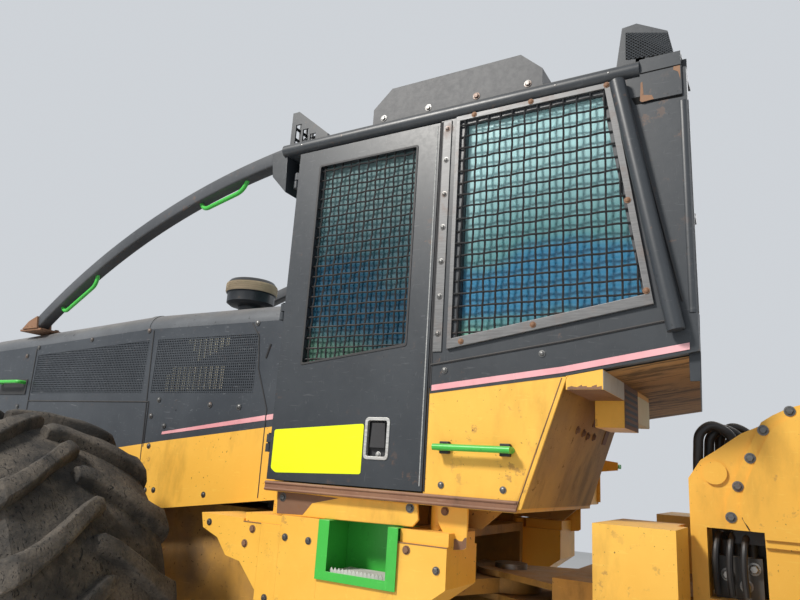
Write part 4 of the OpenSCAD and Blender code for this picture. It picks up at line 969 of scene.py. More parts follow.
@dataclass
class CadDressing:
    """Gives every carried-over CAD node its material.

    Args:
        palette: The finishes.
    """

    palette: Palette

    def table(self) -> dict[str, bpy.types.Material]:
        """Material of each node.

        Returns:
            Node name to material.
        """
        p = self.palette
        groups: list[tuple[bpy.types.Material, str]] = [
            (p.yellow, "front_axle cab_tub steps tank winch_housing deck_boxes "
                       "fairlead_arch blade blade_arms rim_front_left rim_front_right rim_rear_left rim_rear_right"),
            # Chassis parts: grime with painted shade.
            (p.grime_and_shade, "front_chassis cab_subframe rear_chassis rear_axle"),
            (p.black, "radiator_grille cab_side_left cab_side_right cab_front cab_rear cab_roof sweeps lamp_guards "
                      "pre_cleaner blade_barrels steer_barrel_left steer_barrel_right door_left door_right"),
            (p.hood_top, "hood_top"),
            (p.black_hood, "hood_sides"),
            (p.roof_grey, "roof_box"),
            (p.grey, "engine console"),
            (p.oily, "valve_block"),
            (p.steel, "exhaust winch_drum roller_low roller_left roller_right hitch_pins"),
            (p.chrome, "blade_rods steer_rod_left steer_rod_right"),
            (p.frame, "window_guards"),
            (p.lamp, "lamps"),
            (p.rubber, "tyre_front_left tyre_front_right tyre_rear_left tyre_rear_right"),
            (p.glass, "cab_glass"),
            (p.door_glass, "door_glass_left door_glass_right"),
            (p.fabric, "seat"),
            (p.green, "grab_rails")]
        return {name: material for material, names in groups for name in names.split()}

    def build(self, nodes: dict) -> None:
        """Assign the materials.

        Args:
            nodes: Node name to object, from the frame.
        """
        table = self.table()
        for name, piece in nodes.items():
            target = bpy.data.objects[piece] if isinstance(piece, str) else piece
            material = table.get(name, self.palette.grey)
            target.data.materials.clear()
            target.data.materials.append(material)


@dataclass
class Tyre:
    """Forestry tyre with curved, bevelled lugs, replacing its CAD node.

    Args:
        palette: The finishes.
        end: front or rear.
        side: Left or right.
        centre: Wheel centre.
        radius: Radius over the lugs.
        width: Tyre width.
        rim: Bead radius.
        lugs: Lugs on each half.
        lug_height: Height of the lugs over the carcass.
        tread_stations: Distance of the carcass's points from the middle plane.
        lug_stations: Distance from the middle plane, lead, foot width and top width along a lug.
        round_steps: Steps of the carcass round the tyre.
    """

    palette: Palette
    end: str
    side: Side
    centre: Point
    radius: float = 0.915
    width: float = 0.775
    rim: float = 0.4065
    lugs: int = 18
    lug_height: float = 0.055
    tread_stations: tuple[float, ...] = (0.0, 0.06, 0.12, 0.18, 0.24, 0.29, 0.325)
    lug_stations: tuple[tuple[float, float, float, float], ...] = (
        (-0.034, 0.128, 0.07, 0.05), (0.0, 0.12, 0.094, 0.07), (0.05, 0.088, 0.102, 0.078),
        (0.11, 0.04, 0.106, 0.08), (0.17, -0.008, 0.11, 0.082), (0.23, -0.052, 0.116, 0.086),
        (0.285, -0.086, 0.126, 0.094), (0.335, -0.106, 0.136, 0.104), (0.362, -0.112, 0.138, 0.108))
    round_steps: int = 108

    def crown(self, y: float) -> float:
        """Radius of the lugs' tops at a distance from the middle.

        Args:
            y: Distance from the middle plane.

        Returns:
            Radius in metres.
        """
        a = abs(y) / (self.width / 2)
        return self.radius - 0.002 - 0.05 * max(0.0, a - 0.25) ** 2.2 / 0.5

    def carcass(self, y: float) -> float:
        """Radius of the carcass between the lugs.

        Args:
            y: Distance from the middle plane.

        Returns:
            Radius in metres.
        """
        a = abs(y) / (self.width / 2)
        return self.radius - self.lug_height - 0.045 * max(0.0, a - 0.3) ** 2.0 / 0.4

    def profile(self) -> list[Pair]:
        """Closed section of the carcass as radius and y.

        Returns:
            Section points.
        """
        hw = self.width / 2
        half = [(self.carcass(y), y) for y in self.tread_stations]
        half += [(0.795, 0.352), (0.76, 0.368), (0.715, 0.38), (0.65, hw - 0.002), (0.58, hw - 0.003),
                 (0.535, 0.378), (0.52, 0.379), (0.512, 0.371), (0.475, 0.362), (0.447, 0.357), (0.43, 0.346),
                 (0.412, 0.332), (self.rim, 0.326), (self.rim, 0.29)]
        mirror = [(r, -y) for r, y in reversed(half)]
        return half + mirror[:-1]

    def lug(self, piece: Piece, angle: float, sign: int, rnd: random.Random) -> None:
        """Add one lug.

        Args:
            piece: Mesh to add to.
            angle: Place round the tyre.
            sign: Half of the tread, plus for the outer half.
            rnd: Seeded source of small variation.
        """
        rows = []
        last = len(self.lug_stations) - 1
        for i, (y, along, foot, top) in enumerate(self.lug_stations):
            jitter = rnd.uniform(-0.0055, 0.0055)
            r1 = self.crown(y) - (0.012 if i == 0 else 0.0) + jitter * 0.6
            if i == last:
                r1 = self.radius - 0.075
            r0 = self.carcass(y) - 0.02
            rows.append((y, along, foot + jitter, top + jitter, r0, r1))
        rows.append((0.379, -0.114, 0.134, 0.114, 0.745, 0.775))
        rings = []
        for y, along, foot, top, r0, r1 in rows:
            ring = []
            mid = (r0 + r1) / 2
            for offset, r in ((-foot / 2, r0), (-(foot + top) / 4, mid + 0.012),
                              (-top / 2, r1 - 0.006), (-top / 2 + 0.01, r1),
                              (0.0, r1 + 0.0015), (top / 2 - 0.01, r1), (top / 2, r1 - 0.006),
                              ((foot + top) / 4, mid + 0.012),
                              (foot / 2, r0)):
                a = angle + (along + offset) / self.radius
                ring.append(self.place(r, y * sign, a))
            rings.append(ring)
        piece.loft(rings)

    def place(self, r: float, y: float, a: float) -> Vector:
        """Point on the tyre.

        Args:
            r: Radius.
            y: Distance from the middle plane, plus is outward.
            a: Angle from the top, forward.

        Returns:
            World point.
        """
        cx, cy, cz = self.centre
        return Vector((cx + r * math.sin(a), cy + y * self.side.value, cz + r * math.cos(a)))

    def build(self) -> None:
        """Make the tyre."""
        rnd = random.Random(7 if self.side is Side.LEFT else 11)
        name = f"tyre_{self.end}_{self.side.name.lower()}"
        piece = Piece(name + "_dressed")
        steps = self.round_steps
        section = self.profile()
        rings = [[self.place(r, y, 2 * math.pi * k / steps) for r, y in section] for k in range(steps)]
        piece.loft(rings, closed=True)
        pitch = 2 * math.pi / self.lugs
        for k in range(self.lugs):
            self.lug(piece, k * pitch, 1, rnd)
            self.lug(piece, (k + 0.5) * pitch, -1, rnd)
        made = piece.make(self.palette.rubber, Slot.RUBBER, f"wheel_{self.end}_{self.side.name.lower()}", bevel=0.004)
        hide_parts(name)


@dataclass
class SidePanel:
    """A flat side of the machine that thin sheets, lines and bolts lie on.

    Args:
        side: Left or right.
        face: Y of the side's outer face.
        palette: The finishes, for the panels that make pieces.
    """

    side: Side
    face: float = 0.8
    palette: Palette | None = None

    @property
    def tag(self) -> str:
        """Name of the side, for the pieces' names."""
        return self.side.name.lower()

    def piece(self, name: str) -> Piece:
        """Start a piece of this side.

        Args:
            name: Piece name without its side.

        Returns:
            The empty piece.
        """
        return Piece(f"{name}_{self.tag}")

    def at(self, x: float, z: float, proud: float = 0.0) -> Point:
        """Point on the side.

        Args:
            x: Along the machine.
            z: Height.
            proud: Distance out of the face.

        Returns:
            World point.
        """
        return (x, self.side.value * (self.face + proud), z)

    def sheet(self, piece: Piece, outline: Sequence[Pair], low: float, high: float) -> None:
        """Add a flat sheet on the side.

        Args:
            piece: Mesh to add to.
            outline: Outline as x and z.
            low: Inner distance from the face.
            high: Outer distance from the face.
        """
        piece.prism(outline, lambda u, v, d: self.at(u, v, d), (low, high))

    def ring(self, piece: Piece, inner: Sequence[Pair], outer: Sequence[Pair], low: float, high: float) -> None:
        """Add a flat ring between two outlines of equal length.

        Args:
            piece: Mesh to add to.
            inner: Inner outline as x and z.
            outer: Outer outline as x and z.
            low: Inner distance from the face.
            high: Outer distance from the face.
        """
        rows = [[Vector(self.at(x, z, d)) for x, z in o]
                for o, d in ((inner, low), (inner, high), (outer, high), (outer, low))]
        piece.loft(rows, closed=True)

    def line(self, piece: Piece, points: Sequence[Pair], radius: float, proud: float = 0.001) -> None:
        """Add a half-sunk round line, such as a seam or a bead.

        Args:
            piece: Mesh to add to.
            points: Points as x and z.
            radius: Radius of the line.
            proud: Distance of its middle from the face.
        """
        piece.tube([Vector(self.at(x, z, proud)) for x, z in points], radius, 6)

    def bolts(self, piece: Piece, places: Iterable[Pair], proud: float = 0.002, radius: float = 0.01,
              height: float = 0.007, hexagon: bool = False) -> None:
        """Add a row of bolts that point out of the side.

        Args:
            piece: Mesh to add to.
            places: Centres as x and z.
            proud: Distance of their seats from the face.
            radius: Head radius.
            height: Head height.
            hexagon: Hexagonal heads, else round ones.
        """
        for x, z in places:
            piece.bolt(self.at(x, z, proud), (0, self.side.value, 0), radius, height, hexagon)


def span(outline: Sequence[Pair], value: float, axis: int) -> Pair | None:
    """Where a level or upright line crosses a convex outline.

    Args:
        outline: Outline as pairs, going round.
        value: Place of the line.
        axis: 0 for a line at a first coordinate, 1 for one at a second.

    Returns:
        Lowest and highest crossing, or None.
    """
    hits = []
    for a, b in zip(outline, [*outline[1:], outline[0]]):
        if (a[axis] - value) * (b[axis] - value) < 0:
            t = (value - a[axis]) / (b[axis] - a[axis])
            hits.append(a[1 - axis] + t * (b[1 - axis] - a[1 - axis]))
    return (min(hits), max(hits)) if len(hits) >= 2 else None


def bars(outline: Sequence[Pair], pitch: float, axis: int) -> Iterable[tuple[float, Pair]]:
    """Evenly spaced lines across an outline.

    Args:
        outline: Outline as pairs, going round.
        pitch: Distance between the lines, about.
        axis: 0 for lines at first coordinates, 1 for lines at second ones.

    Yields:
        Place of each line and its two ends.
    """
    low, high = min(p[axis] for p in outline), max(p[axis] for p in outline)
    count = max(1, round((high - low) / pitch))
    for i in range(count):
        value = low + (i + 0.5) * (high - low) / count
        found = span(outline, value, axis)
        if found:
            yield value, found


def rounded(corners: Sequence[Pair], radius: float, steps: int = 6) -> list[Pair]:
    """Outline with its corners rounded.

    Args:
        corners: Corners as pairs.
        radius: How far each corner is cut back.
        steps: Points at each corner, less one.

    Returns:
        Rounded outline.
    """
    points = []
    for k, here in enumerate(corners):
        h, before, after = Vector(here), Vector(corners[k - 1]), Vector(corners[(k + 1) % len(corners)])
        a, b = h + (before - h).normalized() * radius, h + (after - h).normalized() * radius
        for i in range(steps + 1):
            t = i / steps
            q = a * (1 - t) ** 2 + h * 2 * t * (1 - t) + b * t * t
            points.append((q.x, q.y))
    return points


@dataclass
class WireGuard:
    """Woven, crimped wire over one or more windows.

    Args:
        palette: The finishes.
        name: Piece name.
        body: Body that it rides on.
        panes: Y of the mesh's middle, and the window's outline as x and z, for each window.
        replaces: CAD node that it stands for.
        pitch: Wire pitch.
        wire: Wire radius.
    """

    palette: Palette
    name: str
    body: Body
    panes: Sequence[tuple[float, Sequence[Pair]]]
    replaces: str
    pitch: float = 0.0505
    wire: float = 0.004

    def build(self) -> None:
        """Make the wires."""
        piece = Piece(self.name)
        for plane, outline in self.panes:
            for axis in (0, 1):
                for i, (value, found) in enumerate(bars(outline, self.pitch, axis)):
                    piece.tube(self.wave(value, found, axis, plane, i), self.wire, 6)
        made = piece.make(self.palette.wire, Slot.STEEL, self.body)
        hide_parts(self.replaces)

    def wave(self, value: float, found: Pair, axis: int, plane: float, index: int) -> list[Vector]:
        """Crimped path of one wire.

        Args:
            value: Place of the wire.
            found: Its two ends.
            axis: 0 for an upright wire, 1 for a level one.
            plane: Y of the mesh's middle.
            index: Number of the wire, for the weave's phase.

        Returns:
            Path points.
        """
        steps = max(2, round((found[1] - found[0]) / (self.pitch / 4)))
        path = []
        for k in range(steps + 1):
            t = found[0] + (found[1] - found[0]) * k / steps
            y = plane + self.wire * 0.8 * math.cos(math.pi * (t / self.pitch + index + axis))
            path.append(Vector((value, y, t)) if axis == 0 else Vector((t, y, value)))
        return path


@dataclass
class HoodDressing(SidePanel):
    """Panels, seams, stripe, perforated areas, bolts and handle of the hood's side."""

    face: float = 0.6

    @staticmethod
    def split_line(x: float) -> float:
        """Height of the line between black and yellow.

        Args:
            x: Along the machine.

        Returns:
            Height in metres.
        """
        knots = [(0.346, 1.845), (0.583, 1.816), (1.256, 1.733), (1.594, 1.686), (3.025, 1.488)]
        for (xa, za), (xb, zb) in zip(knots, knots[1:]):
            if x <= xb:
                return za + (zb - za) * (x - xa) / (xb - xa)
        return knots[-1][1]

    @staticmethod
    def low_edge(x: float) -> float:
        """Height of the panel's lower edge.

        Args:
            x: Along the machine.

        Returns:
            Height in metres.
        """
        if x < 1.335:
            return 1.511 + (1.383 - 1.511) * (x - 0.346) / (1.335 - 0.346)
        return 1.383 if x < 2.725 else 1.383 + 0.06 * (x - 2.725) / 0.3

    def build(self) -> None:
        """Make the pieces."""
        xs = [0.349, 0.583, 0.9, 1.256, 1.35, 1.594, 2.2, 2.725, 3.02]
        low = self.piece("hood_yellow")
        self.sheet(low, [(x, self.low_edge(x) + 0.002) for x in xs] + [(x, self.split_line(x)) for x in reversed(xs)],
                   0.0002, 0.0022)
        low.make(self.palette.yellow, Slot.YELLOW)
        stripe = self.piece("hood_stripe")
        ends = [(0.349, 0.028), (0.583, 0.024), (1.256, 0.014)]
        self.sheet(stripe, [(x, self.split_line(x) + 0.034) for x, _ in ends]
                   + [(x, self.split_line(x) + 0.034 + t) for x, t in reversed(ends)], 0.0002, 0.0016)
        stripe.make(self.palette.pink, Slot.BLACK)
        seams = self.piece("hood_seams")
        for path in ([(1.437, 2.33), (1.425, 2.14), (1.4, 1.8), (1.374, 1.395)],
                     [(0.712, 2.33), (0.66, 2.262), (0.64, 2.1), (0.56, 1.905), (0.555, 1.5)],
                     [(2.508, 2.27), (2.495, 1.9), (2.49, 1.39)], [(1.392, 1.936), (2.492, 1.936)],
                     [(1.392, 1.932), (1.384, 1.7)]):
            self.line(seams, path, 0.0034, 0.0012)
        self.line(seams, [(0.578, 2.22), (0.6, 2.152)], 0.006, 0.0)
        self.line(seams, [(1.175, 1.894), (1.177, 1.8935)], 0.011, -0.008)
        seams.make(self.palette.gasket, Slot.BLACK)
        self.perforated()
        heads = self.piece("hood_bolts")
        self.bolts(heads, ((1.476, 2.33), (0.679, 2.33), (1.972, 2.3), (2.49, 2.27), (1.315, 1.946), (0.935, 1.922),
                           (0.738, 1.914), (1.359, 1.861), (1.247, 1.811), (1.963, 1.8), (1.339, 1.705), (1.346, 1.549),
                           (1.319, 1.483), (1.255, 1.488), (0.47, 2.29), (0.45, 1.95), (2.6, 2.22), (2.6, 1.9),
                           (2.95, 2.18), (2.94, 1.6), (0.42, 1.56), (0.9, 1.49)))
        heads.make(self.palette.bolt, Slot.STEEL)
        handle = self.piece("hood_handle")
        handle.tube(arc([self.at(2.56, 2.05, 0.002), self.at(2.56, 2.05, 0.052), self.at(2.8, 2.05, 0.052),
                         self.at(2.8, 2.05, 0.002)]), 0.011, 12)
        handle.make(self.palette.green, Slot.GREEN)
        plate = self.piece("hood_handle_plate")
        self.sheet(plate, [(2.54, 1.975), (2.82, 1.975), (2.82, 2.07), (2.54, 2.07)], 0.0003, 0.006)
        plate.make(self.palette.gasket, Slot.BLACK, bevel=0.002)

    def perforated(self) -> None:
        """Add the perforated sheets and the pale cooler fins that show through them."""
        mesh = self.piece("hood_perforated")
        for area in ([(0.661, 1.983), (1.39, 1.983), (1.39, 2.275), (0.661, 2.275)],
                     [(1.46, 1.983), (2.48, 1.983), (2.48, 2.221), (1.5, 2.275), (1.46, 2.275)]):
            for x, (z0, z1) in bars(area, 0.0135, 0):
                self.sheet(mesh, [(x - 0.0027, z0), (x + 0.0027, z0), (x + 0.0027, z1), (x - 0.0027, z1)],
                           -0.0052, -0.0015)
            for z, (x0, x1) in bars(area, 0.0135, 1):
                self.sheet(mesh, [(x0, z - 0.0027), (x1, z - 0.0027), (x1, z + 0.0027), (x0, z + 0.0027)],
                           -0.0048, -0.0019)
        mesh.make(self.palette.black_hood, Slot.BLACK, smooth=False)
        fins = self.piece("hood_fins")
        for area in ([(1.167, 2.272), (0.852, 2.272), (0.861, 2.228), (1.068, 2.15)],
                     [(1.294, 1.993), (1.266, 2.122), (0.872, 2.125), (0.865, 2.002)]):
            for x, (z0, z1) in bars(area, 0.038, 0):
                self.sheet(fins, [(x - 0.01, z0), (x + 0.01, z0), (x + 0.013, z1), (x - 0.007, z1)], -0.0115, -0.0065)
        fins.make(self.palette.cream, Slot.GREY)


@dataclass
class CabDressing(SidePanel):
    """Guard frame, trim, bolts, stripe, ledge and seals on one side of the cab.

    Args:
        rear_lead: How far the cab's rear lies ahead on the right side.
        left_foot: Foot of the tub's rear edge, left.
        right_foot: The same on the right side.
        tub_top: Where that edge meets the overhang.
        post: Lower rear and upper front corner of the strip on the door post.
        post_bolts: Heights of its bolts.
        stripe_half: Half the stripe's width.
        stripe_rise: Its rise behind the tub, per metre.
        ledge_foot: Height of the ledge's lower edge.
        ledge_top: Height of its upper edge.
        ledge_front: Its front end.
    """

    rear_lead: float = 0.172
    left_foot: float = -0.767
    right_foot: float = -0.64
    tub_top: Pair = (-0.923, 2.01)
    post: tuple[Pair, Pair] = ((-0.456, 2.112), (-0.418, 3.09))
    post_bolts: tuple[float, ...] = (3.054, 2.912, 2.761, 2.618, 2.474, 2.331, 2.183)
    stripe_half: float = 0.011
    stripe_rise: float = 0.1663
    ledge_foot: float = 1.55
    ledge_top: float = 1.588
    ledge_front: float = 0.345

    @property
    def is_left(self) -> bool:
        """Whether this is the photographed side."""
        return self.side is Side.LEFT

    @property
    def foot(self) -> float:
        """Foot of the tub's rear edge on this side."""
        return self.left_foot if self.is_left else self.right_foot

    def back(self, x: float, share: float = 1.0) -> float:
        """Place at the cab's rear, which lies further forward on the right side.

        Args:
            x: Place on the left side.
            share: Share of the difference at this height.

        Returns:
            Place on this side.
        """
        return x if self.is_left else x + self.rear_lead * share

    def build(self) -> None:
        """Make the pieces."""
        for part in (self.trim, self.fasteners, self.seams, self.ledge, self.flange):
            part()

    def trim(self) -> None:
        """Make the pale strip on the door post, the black band over the tub and the stripe on it."""
        (rear, low), (front, high) = self.post
        strip = self.piece("post_strip")
        self.sheet(strip, [(rear, low), (front, low), (front, high), (rear, high)], 0.0003, 0.005)
        strip.make(self.palette.frame, Slot.STEEL, bevel=0.0015)
        tub_x, tub_z = self.tub_top
        band = self.piece("cab_band")
        self.sheet(band, [(-0.414, 1.953), self.tub_top, (tub_x, tub_z + 0.006), (-0.414, 1.979)], 0.0002, 0.0012)
        band.make(self.palette.black, Slot.BLACK)
        stripe = self.piece("cab_stripe")
        end, over, half = self.back(-1.332), 2.034, self.stripe_half
        path = [(-0.421, 1.974), (tub_x, over), (end, over - self.stripe_rise * (end - tub_x))]
        self.sheet(stripe, [(x, z - half) for x, z in path] + [(x, z + half) for x, z in reversed(path)],
                   0.0013, 0.0024)
        stripe.make(self.palette.pink, Slot.BLACK)

    def fasteners(self) -> None:
        """Make the steel bolts of the post and tub, and the rusty ones of the window guard."""
        heads = self.piece("cab_bolts")
        self.bolts(heads, [(-0.437, z) for z in self.post_bolts], 0.005, 0.0085)
        self.bolts(heads, [(-0.472, 2.04), (-0.851, 2.092), (-0.478, 1.622), (self.foot + 0.05, 1.621)], 0.001, 0.0085)
        heads.make(self.palette.bolt, Slot.STEEL)
        rusty = self.piece("guard_bolts")
        self.bolts(rusty, [(-0.56, 3.088), (-0.8, 3.088), (self.back(-1.09, 0.4), 3.086),
                           (self.back(-1.155, 0.72), 2.62), (self.back(-1.208), 2.29), (-0.82, 2.196), (-0.54, 2.147)],
                   0.0125, 0.008)
        rusty.make(self.palette.brown, Slot.STEEL)

    def seams(self) -> None:
        """Make the dark seams and the gap behind the door."""
        seal = self.piece("cab_seams")
        self.line(seal, [(-0.412, 2.062), (-0.92, 2.132), (self.back(-1.28), 2.19)], 0.0045)
        self.line(seal, [(self.back(-1.15, 0.2), 3.09), (self.back(-1.316), 2.25)], 0.004)
        self.line(seal, [(-0.409, 1.595), (-0.409, 3.09)], 0.0035)
        self.sheet(seal, [(-0.4175, 1.98), (-0.4045, 1.978), (-0.4045, 3.092), (-0.4175, 3.092)], 0.0002, 0.0016)
        seal.make(self.palette.gasket, Slot.BLACK)

    def ledge(self) -> None:
        """Make the ledge along the tub's foot with its two rolled edges; its brown is rust, and on the lower part
        painted shadow.
        """
        front, foot, low, high = self.ledge_front, self.foot, self.ledge_foot, self.ledge_top
        rake = 0.01 if self.is_left else 0.0
        # Brown sheet: rust, and painted shadow along its lower part.
        ledge = self.piece("cab_ledge")
        self.sheet(ledge, [(front, low), (foot + 0.002, low), (foot - rake, high), (front, high)], 0.0002, 0.007)
        for z in (low + 0.006, high - 0.007):
            self.line(ledge, [(front - 0.001, z), (foot - 0.002, z)], 0.006, 0.006)
        ledge.make(self.palette.ledge, Slot.YELLOW, bevel=0.002)

    def flange(self) -> None:
        """Make the tub's rear flange with its worn edge, the right bracket plate and the rail's dark feet."""
        foot = self.foot
        flange = self.piece("tub_flange")
        edge = [(foot, 1.56), self.tub_top if self.is_left else (foot, 2.046)]
        self.sheet(flange, [*edge, *((x - 0.016, z) for x, z in reversed(edge))], -0.009, 0.0008)
        if not self.is_left:
            near, far = foot - 0.0165, -0.752
            self.sheet(flange, [(near, 1.722), (far, 1.734), (far, 1.776), (near, 1.788)], -0.009, 0.0002)
        flange.make(self.palette.yellow, Slot.YELLOW, bevel=0.0015)
        rust = self.piece("tub_rust")
        self.line(rust, [(edge[0][0], 1.566), (edge[1][0] + 0.0015, 2.006)], 0.0022, 0.0004)
        rust.make(self.palette.brown, Slot.YELLOW)
        ends = self.piece("grab_ends")
        for x in (-0.492, -0.726):
            ends.box(self.at(x - 0.019, 1.733, 0.0003), self.at(x + 0.019, 1.777, 0.02))
        ends.make(self.palette.gasket, Slot.GREEN, bevel=0.003)

    def guard(self, piece: Piece) -> list[Pair]:
        """Add the thin frame of the side window's guard.

        Args:
            piece: Mesh to add to.

        Returns:
            Outline that its wires fill.
        """
        outer = [(-0.48, 3.096), (self.back(-1.104, 0.4), 3.096), (self.back(-1.231), 2.244), (-0.48, 2.119)]
        inner = [(-0.497, 3.074), (self.back(-1.082, 0.4), 3.074), (self.back(-1.203), 2.279), (-0.497, 2.16)]
        self.ring(piece, inner, outer, 0.0005, 0.0125)
        return [(-0.493, 3.078), (self.back(-1.086, 0.4), 3.078), (self.back(-1.207), 2.275), (-0.493, 2.156)]


@dataclass
class DoorDressing(SidePanel):
    """Seal, handle, painted highlight along the rear edge and blank sticker of one door."""

    opening: tuple[Pair, ...] = ((0.218, 2.08), (0.218, 3.007), (-0.296, 3.007), (-0.296, 2.145))

    def window(self, grow: float) -> list[Pair]:
        """Window outline with round corners.

        Args:
            grow: Distance outside the opening.

        Returns:
            Points as x and z.
        """
        (a, b), (_, d), (e, _), (_, f) = self.opening
        return rounded([(a + grow, b - grow), (a + grow, d + grow), (e - grow, d + grow), (e - grow, f - grow)],
                       0.008 + max(0.0, grow))

    def build(self, body: Body) -> None:
        """Make the pieces.

        Args:
            body: The door's body.
        """
        seal = self.piece("door_seal")
        self.ring(seal, self.window(-0.005), self.window(0.005), -0.003, 0.0025)
        seal.make(self.palette.gasket, Slot.BLACK, body, bevel=0.0015)
        x0, x1, z0, z1 = -0.248, -0.133, 1.697, 1.861
        outer, inner = ([(x0 + d, z0 + d), (x1 - d, z0 + d), (x1 - d, z1 - d),
                         (x0 + d, z1 - d)] for d in (0.0006, 0.0135))
        # Painted highlight: a pale aluminium line along the door's rear edge.
        highlight_line = self.piece("door_worn_edge")
        self.line(highlight_line, [(-0.3885, 1.612), (-0.3885, 3.078)], 0.0026, 0.0002)
        highlight_line.make(self.palette.aluminium, Slot.BLACK, body)
        shell = self.piece("door_handle")
        self.ring(shell, rounded(inner, 0.01), rounded(outer, 0.02), -0.014, 0.0035)
        shell.make(self.palette.aluminium, Slot.STEEL, body, bevel=0.0015)
        cup = self.piece("door_cup")
        self.sheet(cup, rounded([(x0 + 0.001, z0 + 0.001), (x1 - 0.001, z0 + 0.001), (x1 - 0.001, z1 - 0.001),
                                 (x0 + 0.001, z1 - 0.001)], 0.008), -0.026, -0.022)
        paddle = [(x0 + 0.022, z0 + 0.046), (x1 - 0.022, z0 + 0.046),
                  (x1 - 0.028, z1 - 0.022), (x0 + 0.028, z1 - 0.022)]
        self.sheet(cup, paddle, -0.02, -0.006)
        cup.make(self.palette.gasket, Slot.BLACK, body, bevel=0.003)
        lock = self.piece("door_lock")
        lock.bolt(self.at((x0 + x1) / 2, z0 + 0.022, -0.021), (0, self.side.value, 0), 0.008, 0.01, hexagon=False)
        lock.make(self.palette.aluminium, Slot.STEEL, body)
        sticker = self.piece("door_sticker")
        self.sheet(sticker, rounded([(-0.127, 1.64), (0.3, 1.6235), (0.326, 1.64), (0.326, 1.8), (-0.127, 1.834)],
                                    0.01, 3), 0.0003, 0.0012)
        sticker.make(self.palette.sticker, Slot.YELLOW, body)


@dataclass
class StepDressing(SidePanel):
    """Green pocket, bolts and worn edges of the step boxes, and the plates that hang from the cab's floor.

    Args:
        wall: Thickness of the pocket's walls.
        walls_x: Rear faces of its side walls.
        walls_z: Foot and top of the walls.
        back_y: Y of the pocket's back.
        mouth_y: Y of its mouth.
        rim: Outline of its front rim.
        apron_face: Y of the front hanging plate.
        hanger_face: Y of the rear one, which leaves room for the tank at full articulation.
        apron_outline: Front plate.
        hanger_outline: Rear plate.
        apron_rust: Rust on the front plate.
        hanger_rust: Rust on the rear plate.
    """

    wall: float = 0.0128
    walls_x: Pair = (-0.3039, 0.0291)
    walls_z: Pair = (1.2591, 1.4554)
    back_y: float = 0.6096
    mouth_y: float = 0.8064
    rim: tuple[Pair, ...] = ((-0.316, 1.239), (0.045, 1.239), (0.045, 1.457), (-0.006, 1.457), (-0.006, 1.272),
                             (-0.272, 1.272), (-0.272, 1.457), (-0.316, 1.457))
    apron_face: float = 0.775
    hanger_face: float = 0.745
    apron_outline: tuple[Pair, ...] = ((0.302, 1.551), (0.295, 1.455), (-0.356, 1.465),
                                       (-0.379, 1.491), (-0.371, 1.547))
    hanger_outline: tuple[Pair, ...] = ((-0.44, 1.5475), (-0.443, 1.489), (-0.505, 1.399), (-0.55, 1.404),
                                        (-0.563, 1.412), (-0.563, 1.5475))
    apron_rust: tuple[Pair, ...] = ((0.296, 1.55), (0.289, 1.459), (0.155, 1.464), (0.112, 1.513), (-0.017, 1.542))
    hanger_rust: tuple[Pair, ...] = ((-0.508, 1.437), (-0.52, 1.439), (-0.534, 1.432), (-0.546, 1.433), (-0.555, 1.446),
                                     (-0.562, 1.447), (-0.562, 1.413), (-0.55, 1.405), (-0.506, 1.4))

    def build(self) -> None:
        """Make the pieces."""
        self.tread()
        self.pocket()
        self.fasteners()
        self.aprons()

    def slab(self, piece: Piece, low: Point, high: Point) -> None:
        """Add a box given for the left side to this side.

        Args:
            piece: Mesh to add to.
            low: Lowest corner on the left side.
            high: Highest corner on the left side.
        """
        s = self.side.value
        piece.box((low[0], s * low[1], low[2]), (high[0], s * high[1], high[2]))

    def tread(self) -> None:
        """Make the pale tread with its row of teeth."""
        s, foot, shoulder, tip = self.side.value, 1.26, 1.276, 1.288
        tread = self.piece("step_tread")
        for i in range(15):
            x = -0.268 + i * 0.0172
            tread.loft([[Vector((x, s * y, foot)), Vector((x + 0.0165, s * y, foot)),
                         Vector((x + 0.0165, s * y, shoulder)), Vector((x + 0.0083, s * y, tip)),
                         Vector((x, s * y, shoulder))] for y in (0.786, 0.79)])
        for i in range(5):
            y = 0.65 + i * 0.028
            self.slab(tread, (-0.27, y, 1.266), (-0.012, y + 0.016, shoulder))
        tread.make(self.palette.sealant, Slot.GREEN, bevel=0.0008)

    def pocket(self) -> None:
        """Make the green pocket: floor, walls, back, rim and floor ribs."""
        (rear, front), (foot, top) = self.walls_x, self.walls_z
        pocket = self.piece("step_pocket")
        self.slab(pocket, (rear, self.back_y, foot - 0.016), (front + self.wall, self.mouth_y, foot + 0.0003))
        for x in self.walls_x:
            self.slab(pocket, (x, self.back_y, foot), (x + self.wall, self.mouth_y, top))
        self.slab(pocket, (rear + 0.0131, self.back_y, foot), (front - 0.0003, self.back_y + self.wall, top))
        self.sheet(pocket, self.rim, 0.0066, 0.01)
        for x0, x1 in ((-0.316, -0.272), (-0.006, 0.045)):
            self.slab(pocket, (x0, 0.74, 1.4562), (x1, 0.81, 1.459))
        for i in range(6):
            y = 0.64 + i * 0.025
            self.slab(pocket, (-0.282, y, 1.2592), (0.02, y + 0.005, 1.2655))
        pocket.make(self.palette.green, Slot.GREEN, bevel=0.0012)

    def fasteners(self) -> None:
        """Make the steel bolts, the rusty bolts and the rusty edges of the step boxes."""
        heads = self.piece("step_bolts")
        self.bolts(heads, [(0.214, 1.374), (-0.474, 1.33), (0.29, 1.135), (0.095, 1.372), (0.64, 1.395)], 0.0003, 0.01,
                   0.008, True)
        heads.make(self.palette.bolt, Slot.STEEL)
        rust = self.piece("step_rust")
        self.bolts(rust, [(0.425, 1.329), (0.39, 1.389), (-0.35, 1.386)], 0.0003, 0.011, 0.008, True)
        self.sheet(rust, [(0.3465, 1.413), (0.443, 1.413), (0.443, 1.4168), (0.3465, 1.4168)], 0.0001, 0.0012)
        self.sheet(rust, [(-0.512, 1.4072), (-0.306, 1.4072), (-0.306, 1.4108), (-0.512, 1.4108)], 0.0001, 0.0012)
        rust.make(self.palette.brown, Slot.YELLOW)

